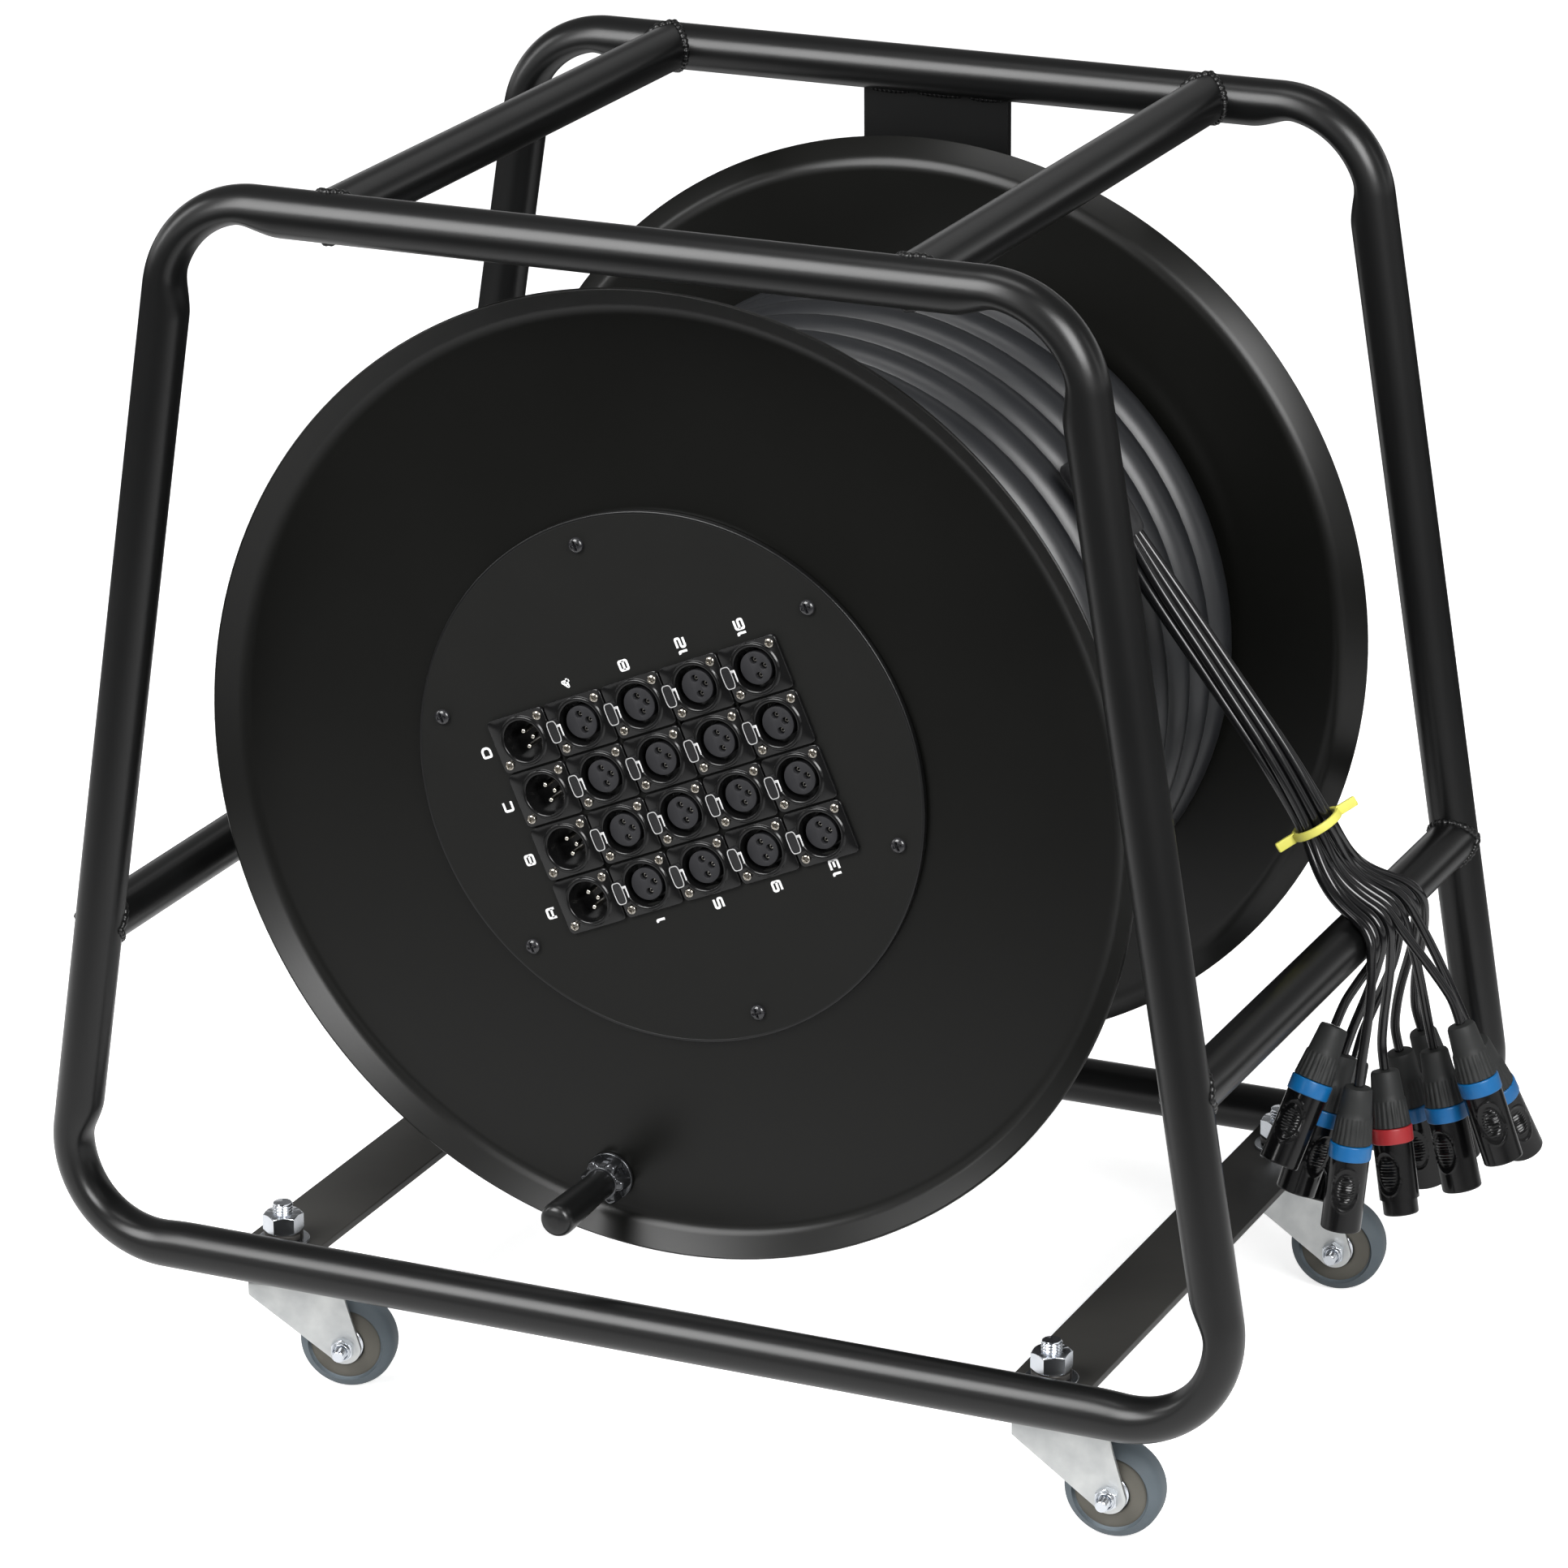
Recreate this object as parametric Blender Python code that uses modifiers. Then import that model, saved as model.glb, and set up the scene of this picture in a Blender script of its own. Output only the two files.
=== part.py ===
"""Multicore cable drum: a spool with a 20 way socket panel, in a tube frame on four castors.

World frame: +X to the right, +Y to the back along the spool's axle, +Z up, floor at z = 0.
All sizes are real sizes. Lengths are metres, written as millimetres times MM.
"""
import math

import bmesh
import bpy
import numpy as np
from mathutils import Matrix, Vector

MM = 0.001
SEAT_GAP = 0.3 * MM            # between pieces that touch or are welded on the real object
RUN_GAP = 0.4 * MM             # radial gap round a shaft that turns
COLLECTION = "multicore_cable_drum"

# Castors, from the floor up
WHEEL_D = 46.8 * MM
WHEEL_W = 19.4 * MM
WHEEL_HUB_D = 35.0 * MM
WHEEL_DISH = 1.6 * MM
WHEEL_ROUND = 4.0 * MM
WHEEL_FLATS = 16
AXLE_BOLT_D = 6.0 * MM
AXLE_BOLT_END = 24.0 * MM
AXLE_NUT_AF = 10.0 * MM
AXLE_NUT_H = 5.0 * MM
FORK_TRAIL = 31.0 * MM
FORK_SHEET = 2.0 * MM
FORK_SIDE_ROOM = 1.0 * MM
FORK_BOSS_R = 8.5 * MM
FORK_CROWN_CLEAR = 7.1 * MM
FORK_CROWN_FRONT = 15.0 * MM
FORK_CROWN_BACK = 30.0 * MM
RACE_D = 33.0 * MM
RACE_LOWER_H = 5.0 * MM
RACE_UPPER_H = 6.0 * MM
KING_PIN_D = 10.0 * MM
KING_PIN_HEAD_D = 15.0 * MM
KING_PIN_HEAD_H = 2.2 * MM
CASTOR_NUT_AF = 17.0 * MM
CASTOR_NUT_H = 9.0 * MM
STUD_PROUD = 5.5 * MM
STEEL_WASHER_D = 25.0 * MM
STEEL_WASHER_T = 2.0 * MM
BLACK_WASHER_D = 19.0 * MM
BLACK_WASHER_T = 4.0 * MM
CASTOR_INSET = 101.0 * MM      # castor's centre in from the hoop's bottom corner
CASTOR_TUBE_INSET = 32.0 * MM  # castor's centre in from the hoop's tube
CASTOR_YAW = {"front_left": 14.0, "front_right": 5.0, "rear_right": 8.0, "rear_left": 11.0}

# Tube frame
TUBE_D = 23.0 * MM
HOOP_SPACING = 364.0 * MM
HOOP_BASE_W = 599.0 * MM
HOOP_TOP_W = 434.0 * MM
HOOP_RISE = 516.0 * MM
BEND_R = 47.0 * MM
BEND_DENT = 5.0 * MM
BEND_STEPS = 7
TOP_BAR_INSET = 76.0 * MM      # top crossbar in from the hoop's top corner
LOWER_BAR_RISE = 158.6 * MM
BASE_BAR_W = 38.0 * MM
BASE_BAR_T = 4.0 * MM
BASE_BAR_DROP = 3.5 * MM       # top face below the bottom tube's centre
UPRIGHT_W = 76.0 * MM
UPRIGHT_T = 5.0 * MM

# Spool
AXLE_RISE = 253.0 * MM         # axle above the bottom tube's centre
DISC_R = 233.0 * MM
DISC_T = 1.5 * MM
LIP_RUN = 11.0 * MM
LIP_DEPTH = 10.5 * MM
LIP_BEND_R = 4.0 * MM
FRONT_HOLE_LEDGE = 4.0 * MM    # front disc's ring inside the core tube's outer wall
REAR_HOLE_R = 22.0 * MM
SPOOL_BACK_SHIFT = 14.1 * MM
CORE_WALL = 2.0 * MM
HIDDEN_LAYERS = 31.9 * MM      # depth of cable between the core and the outer layer
CABLE_D = 27.4 * MM
TURN_PITCH = 28.1 * MM
TURNS = 10
TURN_R = 157.6 * MM
POINTS_PER_TURN = 24
SPINDLE_D = 25.0 * MM
SPINDLE_FLANGE_D = 70.0 * MM
SPINDLE_FLANGE_T = 6.0 * MM
HUB_D = 62.0 * MM
HUB_LENGTH = 58.0 * MM
HUB_FLANGE_D = 120.0 * MM
HUB_FLANGE_T = 6.0 * MM
SPINDLE_NUT_AF = 36.0 * MM
SPINDLE_NUT_H = 12.0 * MM

# Socket panel
PANEL_R = 127.6 * MM
PANEL_T = 3.0 * MM
PANEL_TURN = 113.2             # degrees, anticlockwise from the front
SOCKET_PITCH_X = 27.0 * MM
SOCKET_PITCH_Y = 32.0 * MM
SOCKET_COLUMNS = 4
SOCKET_ROWS = 5
GRID_SHIFT_X = -3.0 * MM
GRID_SHIFT_Y = -1.2 * MM
FLANGE_W = 26.2 * MM
FLANGE_H = 31.2 * MM
FLANGE_T = 2.0 * MM
FLANGE_CORNER_R = 3.0 * MM
BARREL_R = 12.0 * MM
BARREL_BACK = 18.0 * MM
FEMALE_ENTRY_R = 10.4 * MM
FEMALE_INSERT_R = 8.1 * MM
FEMALE_INSERT_SINK = 1.2 * MM
FEMALE_DEPTH = 9.0 * MM
MALE_ENTRY_R = 9.8 * MM
MALE_DEPTH = 11.0 * MM
PIN_R = 1.2 * MM
PIN_CIRCLE_R = 3.8 * MM
PIN_SINK = 2.5 * MM
LATCH_W = 11.0 * MM
LATCH_H = 5.2 * MM
LATCH_T = 3.6 * MM
LATCH_TRAVEL = 1.4 * MM
LATCH_CENTRE = 13.1 * MM
LATCH_CORNER_R = 1.6 * MM

# Crank
CRANK_INSET = 27.3 * MM        # grip's axis in from the disc's rim
CRANK_ANGLE = -99.5
CRANK_WASHER_D = 26.0 * MM
CRANK_WASHER_T = 2.0 * MM
CRANK_NUT_R = 10.5 * MM
CRANK_NUT_LOBE = 1.1 * MM
CRANK_NUT_LOBES = 6
CRANK_NUT_H = 9.0 * MM
CRANK_PIN_D = 8.0 * MM
GRIP_BASE_D = 14.0 * MM
GRIP_END_D = 17.4 * MM
GRIP_LENGTH = 50.0 * MM
GRIP_END_WALL = 6.0 * MM

# Fan-out tails and the line connectors on them
TAIL_D = 4.6 * MM
BUNDLE_D = 19.0 * MM
SLEEVE_D = 22.5 * MM
SLEEVE_LENGTH = 42.0 * MM
TIE_BAND_W = 4.0 * MM
TIE_BAND_T = 2.2 * MM
TIE_EAR = 9.0 * MM
CONNECTOR_BOOT = 31.0 * MM
CONNECTOR_SHELL = 38.5 * MM
CONNECTOR_RING_R = 10.2 * MM
CONNECTOR_RING_H = 7.6 * MM
CONNECTOR_SHELL_R = 9.5 * MM
BOOT_TIP_R = 6.3 * MM
BOOT_BASE_R = 9.2 * MM
COLLAR_H = 10.0 * MM           # fluted collar between the ring and the boot
COLLAR_STEP = 4.0 * MM
TAIL_STRAIGHT = 16.0 * MM      # of each tail, above its connector

# Heights and planes that follow from the sizes above
WHEEL_R = WHEEL_D / 2
TUBE_R = TUBE_D / 2
CROWN_UNDER = WHEEL_D + FORK_CROWN_CLEAR
CROWN_TOP = CROWN_UNDER + FORK_SHEET
RACE_SPLIT = CROWN_TOP + RACE_LOWER_H
BAR_UNDER = RACE_SPLIT + SEAT_GAP + RACE_UPPER_H + SEAT_GAP
BAR_TOP = BAR_UNDER + BASE_BAR_T
TUBE_Z = BAR_TOP + BASE_BAR_DROP
TOP_TUBE_Z = TUBE_Z + HOOP_RISE
HOOP_Y = HOOP_SPACING / 2
AXLE_Z = TUBE_Z + AXLE_RISE
SPOOL_INNER_W = TURNS * TURN_PITCH + 2 * SEAT_GAP
SPOOL_FRONT_Y = SPOOL_BACK_SHIFT - SPOOL_INNER_W / 2
SPOOL_REAR_Y = SPOOL_BACK_SHIFT + SPOOL_INNER_W / 2
DISC_FACE_Y = SPOOL_FRONT_Y - DISC_T
PANEL_BACK_Y = DISC_FACE_Y - SEAT_GAP
UPRIGHT_FACE_Y = HOOP_Y - UPRIGHT_T / 2
LEG_SLOPE = (HOOP_BASE_W - HOOP_TOP_W) / 2 / HOOP_RISE
CASTOR_X = HOOP_BASE_W / 2 - CASTOR_INSET
CASTOR_Y = HOOP_Y - CASTOR_TUBE_INSET
TOP_BAR_X = HOOP_TOP_W / 2 - TOP_BAR_INSET
CORE_R = TURN_R - CABLE_D / 2 - HIDDEN_LAYERS
FRONT_HOLE_R = CORE_R - FRONT_HOLE_LEDGE
CRANK_R = DISC_R - CRANK_INSET


def leg_x(rise):
    """Half the hoop's width at a height above the bottom tube's centre."""
    return HOOP_BASE_W / 2 - LEG_SLOPE * rise


# Materials

def material(name, colour, roughness, metallic=0.0):
    """A Principled material, made once for each name."""
    found = bpy.data.materials.get(name)
    if found:
        return found
    made = bpy.data.materials.new(name)
    made.use_nodes = True
    shader = made.node_tree.nodes["Principled BSDF"]
    shader.inputs["Base Color"].default_value = (*colour, 1.0)
    shader.inputs["Roughness"].default_value = roughness
    shader.inputs["Metallic"].default_value = metallic
    made.diffuse_color = (*colour, 1.0)
    return made


def black_coat():
    return material("black_powder_coat", (0.035, 0.036, 0.038), 0.42, 0.2)


def disc_coat():
    return material("spool_satin_black", (0.050, 0.050, 0.047), 0.50, 0.2)


def zinc():
    return material("bright_zinc", (0.66, 0.68, 0.71), 0.30, 1.0)


def cable_jacket():
    return material("multicore_jacket", (0.045, 0.047, 0.052), 0.48)


# Building blocks

def collection():
    found = bpy.data.collections.get(COLLECTION)
    if not found:
        found = bpy.data.collections.new(COLLECTION)
        bpy.context.scene.collection.children.link(found)
    return found


def add_object(name, data, finish, matrix=None):
    made = bpy.data.objects.new(name, data)
    collection().objects.link(made)
    if finish:
        data.materials.append(finish)
    if matrix:
        made.matrix_world = matrix
    return made


def bake(item):
    """Replace an object's data by its evaluated mesh, welded and with its faces pointing out."""
    bpy.context.view_layer.update()
    evaluated = item.evaluated_get(bpy.context.evaluated_depsgraph_get())
    mesh = bpy.data.meshes.new_from_object(evaluated)
    work = bmesh.new()
    work.from_mesh(mesh)
    bmesh.ops.remove_doubles(work, verts=work.verts, dist=0.002 * MM)
    bmesh.ops.recalc_face_normals(work, faces=work.faces)
    work.to_mesh(mesh)
    work.free()
    name, matrix = item.name, item.matrix_world.copy()
    bpy.data.objects.remove(item)
    made = bpy.data.objects.new(name, mesh)
    collection().objects.link(made)
    made.matrix_world = matrix
    return made


def combine(base, tool, operation):
    """Union or cut a baked mesh with another one, which is used up."""
    step = base.modifiers.new("join", "BOOLEAN")
    step.operation = operation
    step.solver = "EXACT"
    step.object = tool
    made = bake(base)
    bpy.data.objects.remove(tool)
    return made


def turned(name, profile, steps, finish, matrix=None, closed=False):
    """A solid turned about its own Z. The profile runs down its outer side, as (radius, z)."""
    mesh = bpy.data.meshes.new(name)
    count = len(profile)
    edges = [(i, i + 1) for i in range(count - 1)]
    if closed:
        edges.append((count - 1, 0))
    mesh.from_pydata([(r, 0.0, z) for r, z in profile], edges, [])
    made = add_object(name, mesh, finish, matrix)
    screw = made.modifiers.new("turn", "SCREW")
    screw.axis = "Z"
    screw.angle = 2 * math.pi
    screw.steps = steps
    screw.render_steps = steps
    screw.use_merge_vertices = True
    screw.merge_threshold = 0.01 * MM
    return bake(made)


def cylinder(name, radius, z0, z1, steps, finish, matrix=None):
    """A plain round bar along its own Z."""
    return turned(name, [(0, z1), (radius, z1), (radius, z0), (0, z0)], steps, finish, matrix)


def hexagon(name, across_flats, z0, z1, finish, matrix=None):
    """A hexagon nut blank along its own Z."""
    return cylinder(name, across_flats / 2 / math.cos(math.pi / 6), z0, z1, 6, finish, matrix)


def box(name, low, high, finish, matrix=None):
    mesh = bpy.data.meshes.new(name)
    work = bmesh.new()
    bmesh.ops.create_cube(work, size=1.0)
    size = Vector(high) - Vector(low)
    centre = (Vector(high) + Vector(low)) / 2
    bmesh.ops.transform(work, matrix=Matrix.Translation(centre) @ Matrix.Diagonal((*size, 1.0)),
                        verts=work.verts)
    work.to_mesh(mesh)
    work.free()
    return add_object(name, mesh, finish, matrix)


def plate(name, outline, z0, z1, finish, matrix=None):
    """A flat outline in XY with a thickness along Z, from a filled 2D curve."""
    curve = bpy.data.curves.new(name, "CURVE")
    curve.dimensions = "2D"
    curve.fill_mode = "BOTH"
    curve.extrude = abs(z1 - z0) / 2
    spline = curve.splines.new("POLY")
    spline.points.add(len(outline) - 1)
    for point, (x, y) in zip(spline.points, outline):
        point.co = (x, y, 0.0, 1.0)
    spline.use_cyclic_u = True
    shift = Matrix.Translation((0, 0, (z0 + z1) / 2))
    made = add_object(name, curve, finish, (matrix or Matrix()) @ shift)
    return bake(made)


def rounded_rectangle(width, height, radius, steps=1):
    """Corner points of a rectangle with round corners, centred on the origin."""
    points = []
    for quarter in range(4):
        sx = 1 if quarter in (0, 3) else -1
        sy = 1 if quarter in (0, 1) else -1
        cx, cy = sx * (width / 2 - radius), sy * (height / 2 - radius)
        for i in range(steps + 1):
            angle = math.radians(90 * quarter + 90 * i / steps)
            points.append((cx + radius * math.cos(angle), cy + radius * math.sin(angle)))
    return points


def tube_along(name, points, radius, resolution, finish, closed=False):
    """A round tube along points, with filled ends."""
    curve = bpy.data.curves.new(name, "CURVE")
    curve.dimensions = "3D"
    curve.bevel_depth = radius
    curve.bevel_resolution = resolution
    curve.use_fill_caps = not closed
    spline = curve.splines.new("POLY")
    spline.points.add(len(points) - 1)
    for point, place in zip(spline.points, points):
        point.co = (*place, 1.0)
    spline.use_cyclic_u = closed
    return bake(add_object(name, curve, finish))


def smooth_route(route, spacing):
    """Points at an even spacing on the smooth curve that passes through the route's points."""
    knots = np.array([tuple(p) for p in route])
    run = np.linalg.norm(np.diff(knots, axis=0), axis=1)[:, None]
    slope = np.diff(knots, axis=0) / run
    inner = (slope[:-1] * run[1:] + slope[1:] * run[:-1]) / (run[1:] + run[:-1])
    tangent = np.concatenate([slope[:1], inner, slope[-1:]])
    dense = []
    for i, length in enumerate(run[:, 0]):
        for t in np.arange(16) / 16:
            dense.append(knots[i] * (2 * t ** 3 - 3 * t ** 2 + 1) + knots[i + 1] * (3 * t ** 2 - 2 * t ** 3)
                         + tangent[i] * length * (t ** 3 - 2 * t ** 2 + t)
                         + tangent[i + 1] * length * (t ** 3 - t ** 2))
    dense = np.array(dense + [knots[-1]])
    reach = np.concatenate([[0], np.cumsum(np.linalg.norm(np.diff(dense, axis=0), axis=1))])
    wanted = np.linspace(0, reach[-1], max(2, int(round(reach[-1] / spacing)) + 1))
    return [tuple(np.interp(w, reach, dense[:, k]) for k in range(3)) for w in wanted]


def aim(origin, direction):
    """A frame at origin whose Z points along direction."""
    turn = Vector((0, 0, 1)).rotation_difference(Vector(direction)).to_matrix().to_4x4()
    return Matrix.Translation(origin) @ turn


def spool_frame(y):
    """A frame on the axle whose Z points to the front and whose Y points up."""
    return Matrix.Translation((0, y, AXLE_Z)) @ Matrix.Rotation(math.pi / 2, 4, "X")


def panel_frame(y):
    """The spool's frame turned with the panel: X is the panel's right, Y its top."""
    return spool_frame(y) @ Matrix.Rotation(math.radians(PANEL_TURN), 4, "Z")


# Tube frame

def hoop_corners():
    """Corner points of the hoop's centre line, clockwise from bottom left, as (x, z)."""
    base, top = HOOP_BASE_W / 2, HOOP_TOP_W / 2
    return [(-base, TUBE_Z), (-top, TOP_TUBE_Z), (top, TOP_TUBE_Z), (base, TUBE_Z)]


def hoop_bends():
    """Each bend's centre and its centre-line points, as (x, z)."""
    corners = [Vector(c) for c in hoop_corners()]
    bends = []
    for i, corner in enumerate(corners):
        to_last = (corners[i - 1] - corner).normalized()
        to_next = (corners[(i + 1) % 4] - corner).normalized()
        half = to_last.angle(to_next) / 2
        centre = corner + (to_last + to_next).normalized() * (BEND_R / math.sin(half))
        start = corner + to_last * (BEND_R / math.tan(half)) - centre
        end = corner + to_next * (BEND_R / math.tan(half)) - centre
        sweep = math.pi - 2 * half
        points = []
        for k in range(BEND_STEPS + 1):
            share = k / BEND_STEPS
            arm = start * math.sin((1 - share) * sweep) + end * math.sin(share * sweep)
            points.append(centre + arm / math.sin(sweep))
        bends.append((centre, points))
    return bends


def dent_bends(item, bends):
    """Flatten the inner wall of each bend, as the press does, and leave the bends' ends round."""
    keep = 1 - BEND_DENT / TUBE_R
    for vertex in item.data.vertices:
        here = Vector((vertex.co.x, vertex.co.z))
        for centre, points in bends:
            arm = here - centre
            first, last = points[0] - centre, points[-1] - centre
            inside = arm.angle(first) + arm.angle(last) < first.angle(last) + 0.01
            at_end = min(arm.angle(first), arm.angle(last)) < 0.02
            if inside and not at_end and arm.length < BEND_R:
                moved = centre + arm.normalized() * (BEND_R - (BEND_R - arm.length) * keep)
                vertex.co.x, vertex.co.z = moved
    return item


def build_hoop(name, y):
    bends = hoop_bends()
    points = [(p.x, y, p.y) for _, bend in bends for p in bend]
    return dent_bends(tube_along(name, points, TUBE_R, 3, black_coat(), closed=True), bends)


def cope(item, x, z, direction):
    """Cut both ends of a front-to-back bar to the hoops' tubes, for a welded saddle joint."""
    for y in (-HOOP_Y, HOOP_Y):
        cutter = cylinder("saddle_cutter", TUBE_R + SEAT_GAP, -5 * TUBE_R, 5 * TUBE_R, 20, None,
                          aim((x, y, z), direction))
        item = combine(item, cutter, "DIFFERENCE")
    return item


def build_crossbar(name, x, z, tube_direction):
    bar = cylinder(name, TUBE_R, -HOOP_Y, HOOP_Y, 10, black_coat(),
                   Matrix.Translation((x, 0, z)) @ Matrix.Rotation(math.pi / 2, 4, "X"))
    return cope(bar, x, z, tube_direction)


def build_base_bar(name, side):
    low = (side * CASTOR_X - BASE_BAR_W / 2, -HOOP_Y, BAR_UNDER)
    high = (side * CASTOR_X + BASE_BAR_W / 2, HOOP_Y, BAR_TOP)
    bar = cope(box(name, low, high, black_coat()), side * CASTOR_X, TUBE_Z, (1, 0, 0))
    for y in (-CASTOR_Y, CASTOR_Y):
        hole = cylinder("stud_hole", KING_PIN_D / 2 + SEAT_GAP, BAR_UNDER - 5 * MM, BAR_TOP + 5 * MM,
                        16, None, Matrix.Translation((side * CASTOR_X, y, 0)))
        bar = combine(bar, hole, "DIFFERENCE")
    return bar


def build_frame():
    build_hoop("front_hoop", -HOOP_Y)
    build_hoop("rear_hoop", HOOP_Y)
    lower_x = leg_x(LOWER_BAR_RISE)
    for side, word in ((-1, "left"), (1, "right")):
        build_crossbar("top_crossbar_" + word, side * TOP_BAR_X, TOP_TUBE_Z, (1, 0, 0))
        build_crossbar("lower_crossbar_" + word, side * lower_x, TUBE_Z + LOWER_BAR_RISE,
                       (-side * LEG_SLOPE, 0, 1))
        build_base_bar("base_bar_" + word, side)
    low = (-UPRIGHT_W / 2, UPRIGHT_FACE_Y, TUBE_Z + TUBE_R + SEAT_GAP)
    high = (UPRIGHT_W / 2, UPRIGHT_FACE_Y + UPRIGHT_T, TOP_TUBE_Z - TUBE_R - SEAT_GAP)
    box("rear_upright", low, high, black_coat())


# Castors

def build_castor_stud(name, place):
    """King pin, upper race, washers and nut: what stays still with the base bar."""
    pin = KING_PIN_D / 2
    upper = RACE_SPLIT + SEAT_GAP
    steel_top = BAR_TOP + SEAT_GAP + STEEL_WASHER_T
    black_top = steel_top + BLACK_WASHER_T
    nut_top = black_top + CASTOR_NUT_H
    head_top = CROWN_UNDER - SEAT_GAP
    profile = [(0, nut_top + STUD_PROUD), (pin, nut_top + STUD_PROUD), (pin, black_top),
               (BLACK_WASHER_D / 2, black_top), (BLACK_WASHER_D / 2, steel_top),
               (STEEL_WASHER_D / 2, steel_top), (STEEL_WASHER_D / 2, BAR_TOP + SEAT_GAP),
               (pin, BAR_TOP + SEAT_GAP), (pin, BAR_UNDER - SEAT_GAP),
               (RACE_D / 2 - 3 * MM, BAR_UNDER - SEAT_GAP), (RACE_D / 2, upper + 2 * MM),
               (RACE_D / 2, upper), (pin, upper), (pin, head_top), (KING_PIN_HEAD_D / 2, head_top),
               (KING_PIN_HEAD_D / 2 - 1 * MM, head_top - KING_PIN_HEAD_H),
               (0, head_top - KING_PIN_HEAD_H)]
    stud = turned(name, profile, 12, zinc(), place)
    nut = hexagon("castor_nut", CASTOR_NUT_AF, black_top - 0.2 * MM, nut_top, None, place)
    return combine(stud, nut, "UNION")


def fork_side():
    """The fork's outline from its side, as (forward of the king pin, up), with its axle boss."""
    above = CROWN_TOP + 3 * MM
    points = [(-FORK_CROWN_FRONT, above), (-FORK_CROWN_FRONT, CROWN_TOP - 8 * MM)]
    for i in range(5):
        angle = math.radians(-140 + i * 36)
        points.append((FORK_TRAIL + FORK_BOSS_R * math.cos(angle),
                       WHEEL_R + FORK_BOSS_R * math.sin(angle)))
    points.append((FORK_CROWN_BACK, above))
    return points


def fork_section(inner):
    """The bent sheet's section as (across, up): two cheeks and the crown over them."""
    low = WHEEL_R - 2 * FORK_BOSS_R
    bend = FORK_SHEET + 1 * MM
    outer = inner + FORK_SHEET
    points = []
    for side, order in ((1, (0, 2)), (-1, (2, 0))):
        for i in order:
            angle = math.radians(15 + 30 * i)
            points.append((side * (outer - bend + bend * math.cos(angle)),
                           CROWN_TOP - bend + bend * math.sin(angle)))
    inside = [(-inner, low), (-inner, CROWN_UNDER - 1 * MM), (-inner + 1 * MM, CROWN_UNDER),
              (inner - 1 * MM, CROWN_UNDER), (inner, CROWN_UNDER - 1 * MM), (inner, low)]
    return [(outer, low)] + points + [(-outer, low)] + inside


def build_castor_fork(name, place):
    """Bent fork, lower race and axle bolt of one castor, which swivel together."""
    inner = WHEEL_W / 2 + FORK_SIDE_ROOM
    outer = inner + FORK_SHEET
    upright = place @ Matrix.Rotation(math.pi / 2, 4, "X")
    along = place @ Matrix.Rotation(math.pi / 2, 4, "Z") @ Matrix.Rotation(math.pi / 2, 4, "X")
    reach = FORK_TRAIL + 2 * FORK_BOSS_R
    fork = plate(name, fork_section(inner), -reach, reach, zinc(), along)
    fork = combine(fork, plate("side", fork_side(), -2 * outer, 2 * outer, None, upright), "INTERSECT")
    race = turned("race", [(0, RACE_SPLIT), (RACE_D / 2, RACE_SPLIT), (RACE_D / 2, RACE_SPLIT - 2 * MM),
                           (RACE_D / 2 - 3 * MM, CROWN_TOP - 1 * MM), (0, CROWN_TOP - 1 * MM)],
                  12, None, place)
    fork = combine(fork, race, "UNION")
    axle = upright @ Matrix.Translation((FORK_TRAIL, WHEEL_R, 0))
    bolt = AXLE_BOLT_D / 2
    nut_out = outer + AXLE_NUT_H
    profile = [(0, AXLE_BOLT_END), (bolt - 0.8 * MM, AXLE_BOLT_END),
               (bolt, AXLE_BOLT_END - 0.8 * MM), (bolt, -outer + 0.5 * MM),
               (bolt + 2 * MM, -outer + 0.5 * MM), (bolt + 2 * MM, -nut_out), (0, -nut_out)]
    fork = combine(fork, turned("axle_bolt", profile, 8, None, axle), "UNION")
    nut = hexagon("axle_nut", AXLE_NUT_AF, outer - 0.3 * MM, nut_out, None, axle)
    fork = combine(fork, nut, "UNION")
    bore = cylinder("king_pin_bore", KING_PIN_D / 2 + RUN_GAP, CROWN_UNDER - 5 * MM,
                    RACE_SPLIT + 5 * MM, 12, None, place)
    return combine(fork, bore, "DIFFERENCE")


def build_castor_wheel(name, place):
    """Tyre and hub of one castor, with a running bore. Its flats are as far out as WHEEL_R."""
    half, bore = WHEEL_W / 2, AXLE_BOLT_D / 2 + RUN_GAP
    tread = WHEEL_R / math.cos(math.pi / WHEEL_FLATS)
    hub = WHEEL_HUB_D / 2
    dish = half - WHEEL_DISH
    edge = WHEEL_ROUND
    profile = [(bore, half + 0.3 * MM), (bore + 4 * MM, half + 0.3 * MM), (hub, dish),
               (hub + 0.8 * MM, half), (tread - edge, half),
               (tread - edge * 0.3, half - edge * 0.3), (tread, half - edge)]
    mirrored = [(r, -z) for r, z in reversed(profile)]
    axle = place @ Matrix.Rotation(math.pi / 2, 4, "X") @ Matrix.Translation((FORK_TRAIL, WHEEL_R, 0))
    axle = axle @ Matrix.Rotation(math.pi / 2 + math.pi / WHEEL_FLATS, 4, "Z")
    tyre = material("grey_rubber_tyre", (0.105, 0.125, 0.140), 0.6)
    return turned(name, profile + mirrored, WHEEL_FLATS, tyre, axle, closed=True)


def build_castors():
    for word, yaw in CASTOR_YAW.items():
        end, side = word.split("_")
        x = CASTOR_X if side == "right" else -CASTOR_X
        y = CASTOR_Y if end == "rear" else -CASTOR_Y
        place = Matrix.Translation((x, y, 0))
        swung = place @ Matrix.Rotation(math.radians(yaw), 4, "Z")
        build_castor_stud("castor_stud_" + word, place)
        build_castor_fork("castor_fork_" + word, swung)
        build_castor_wheel("castor_wheel_" + word, swung)


# Spool

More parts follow.
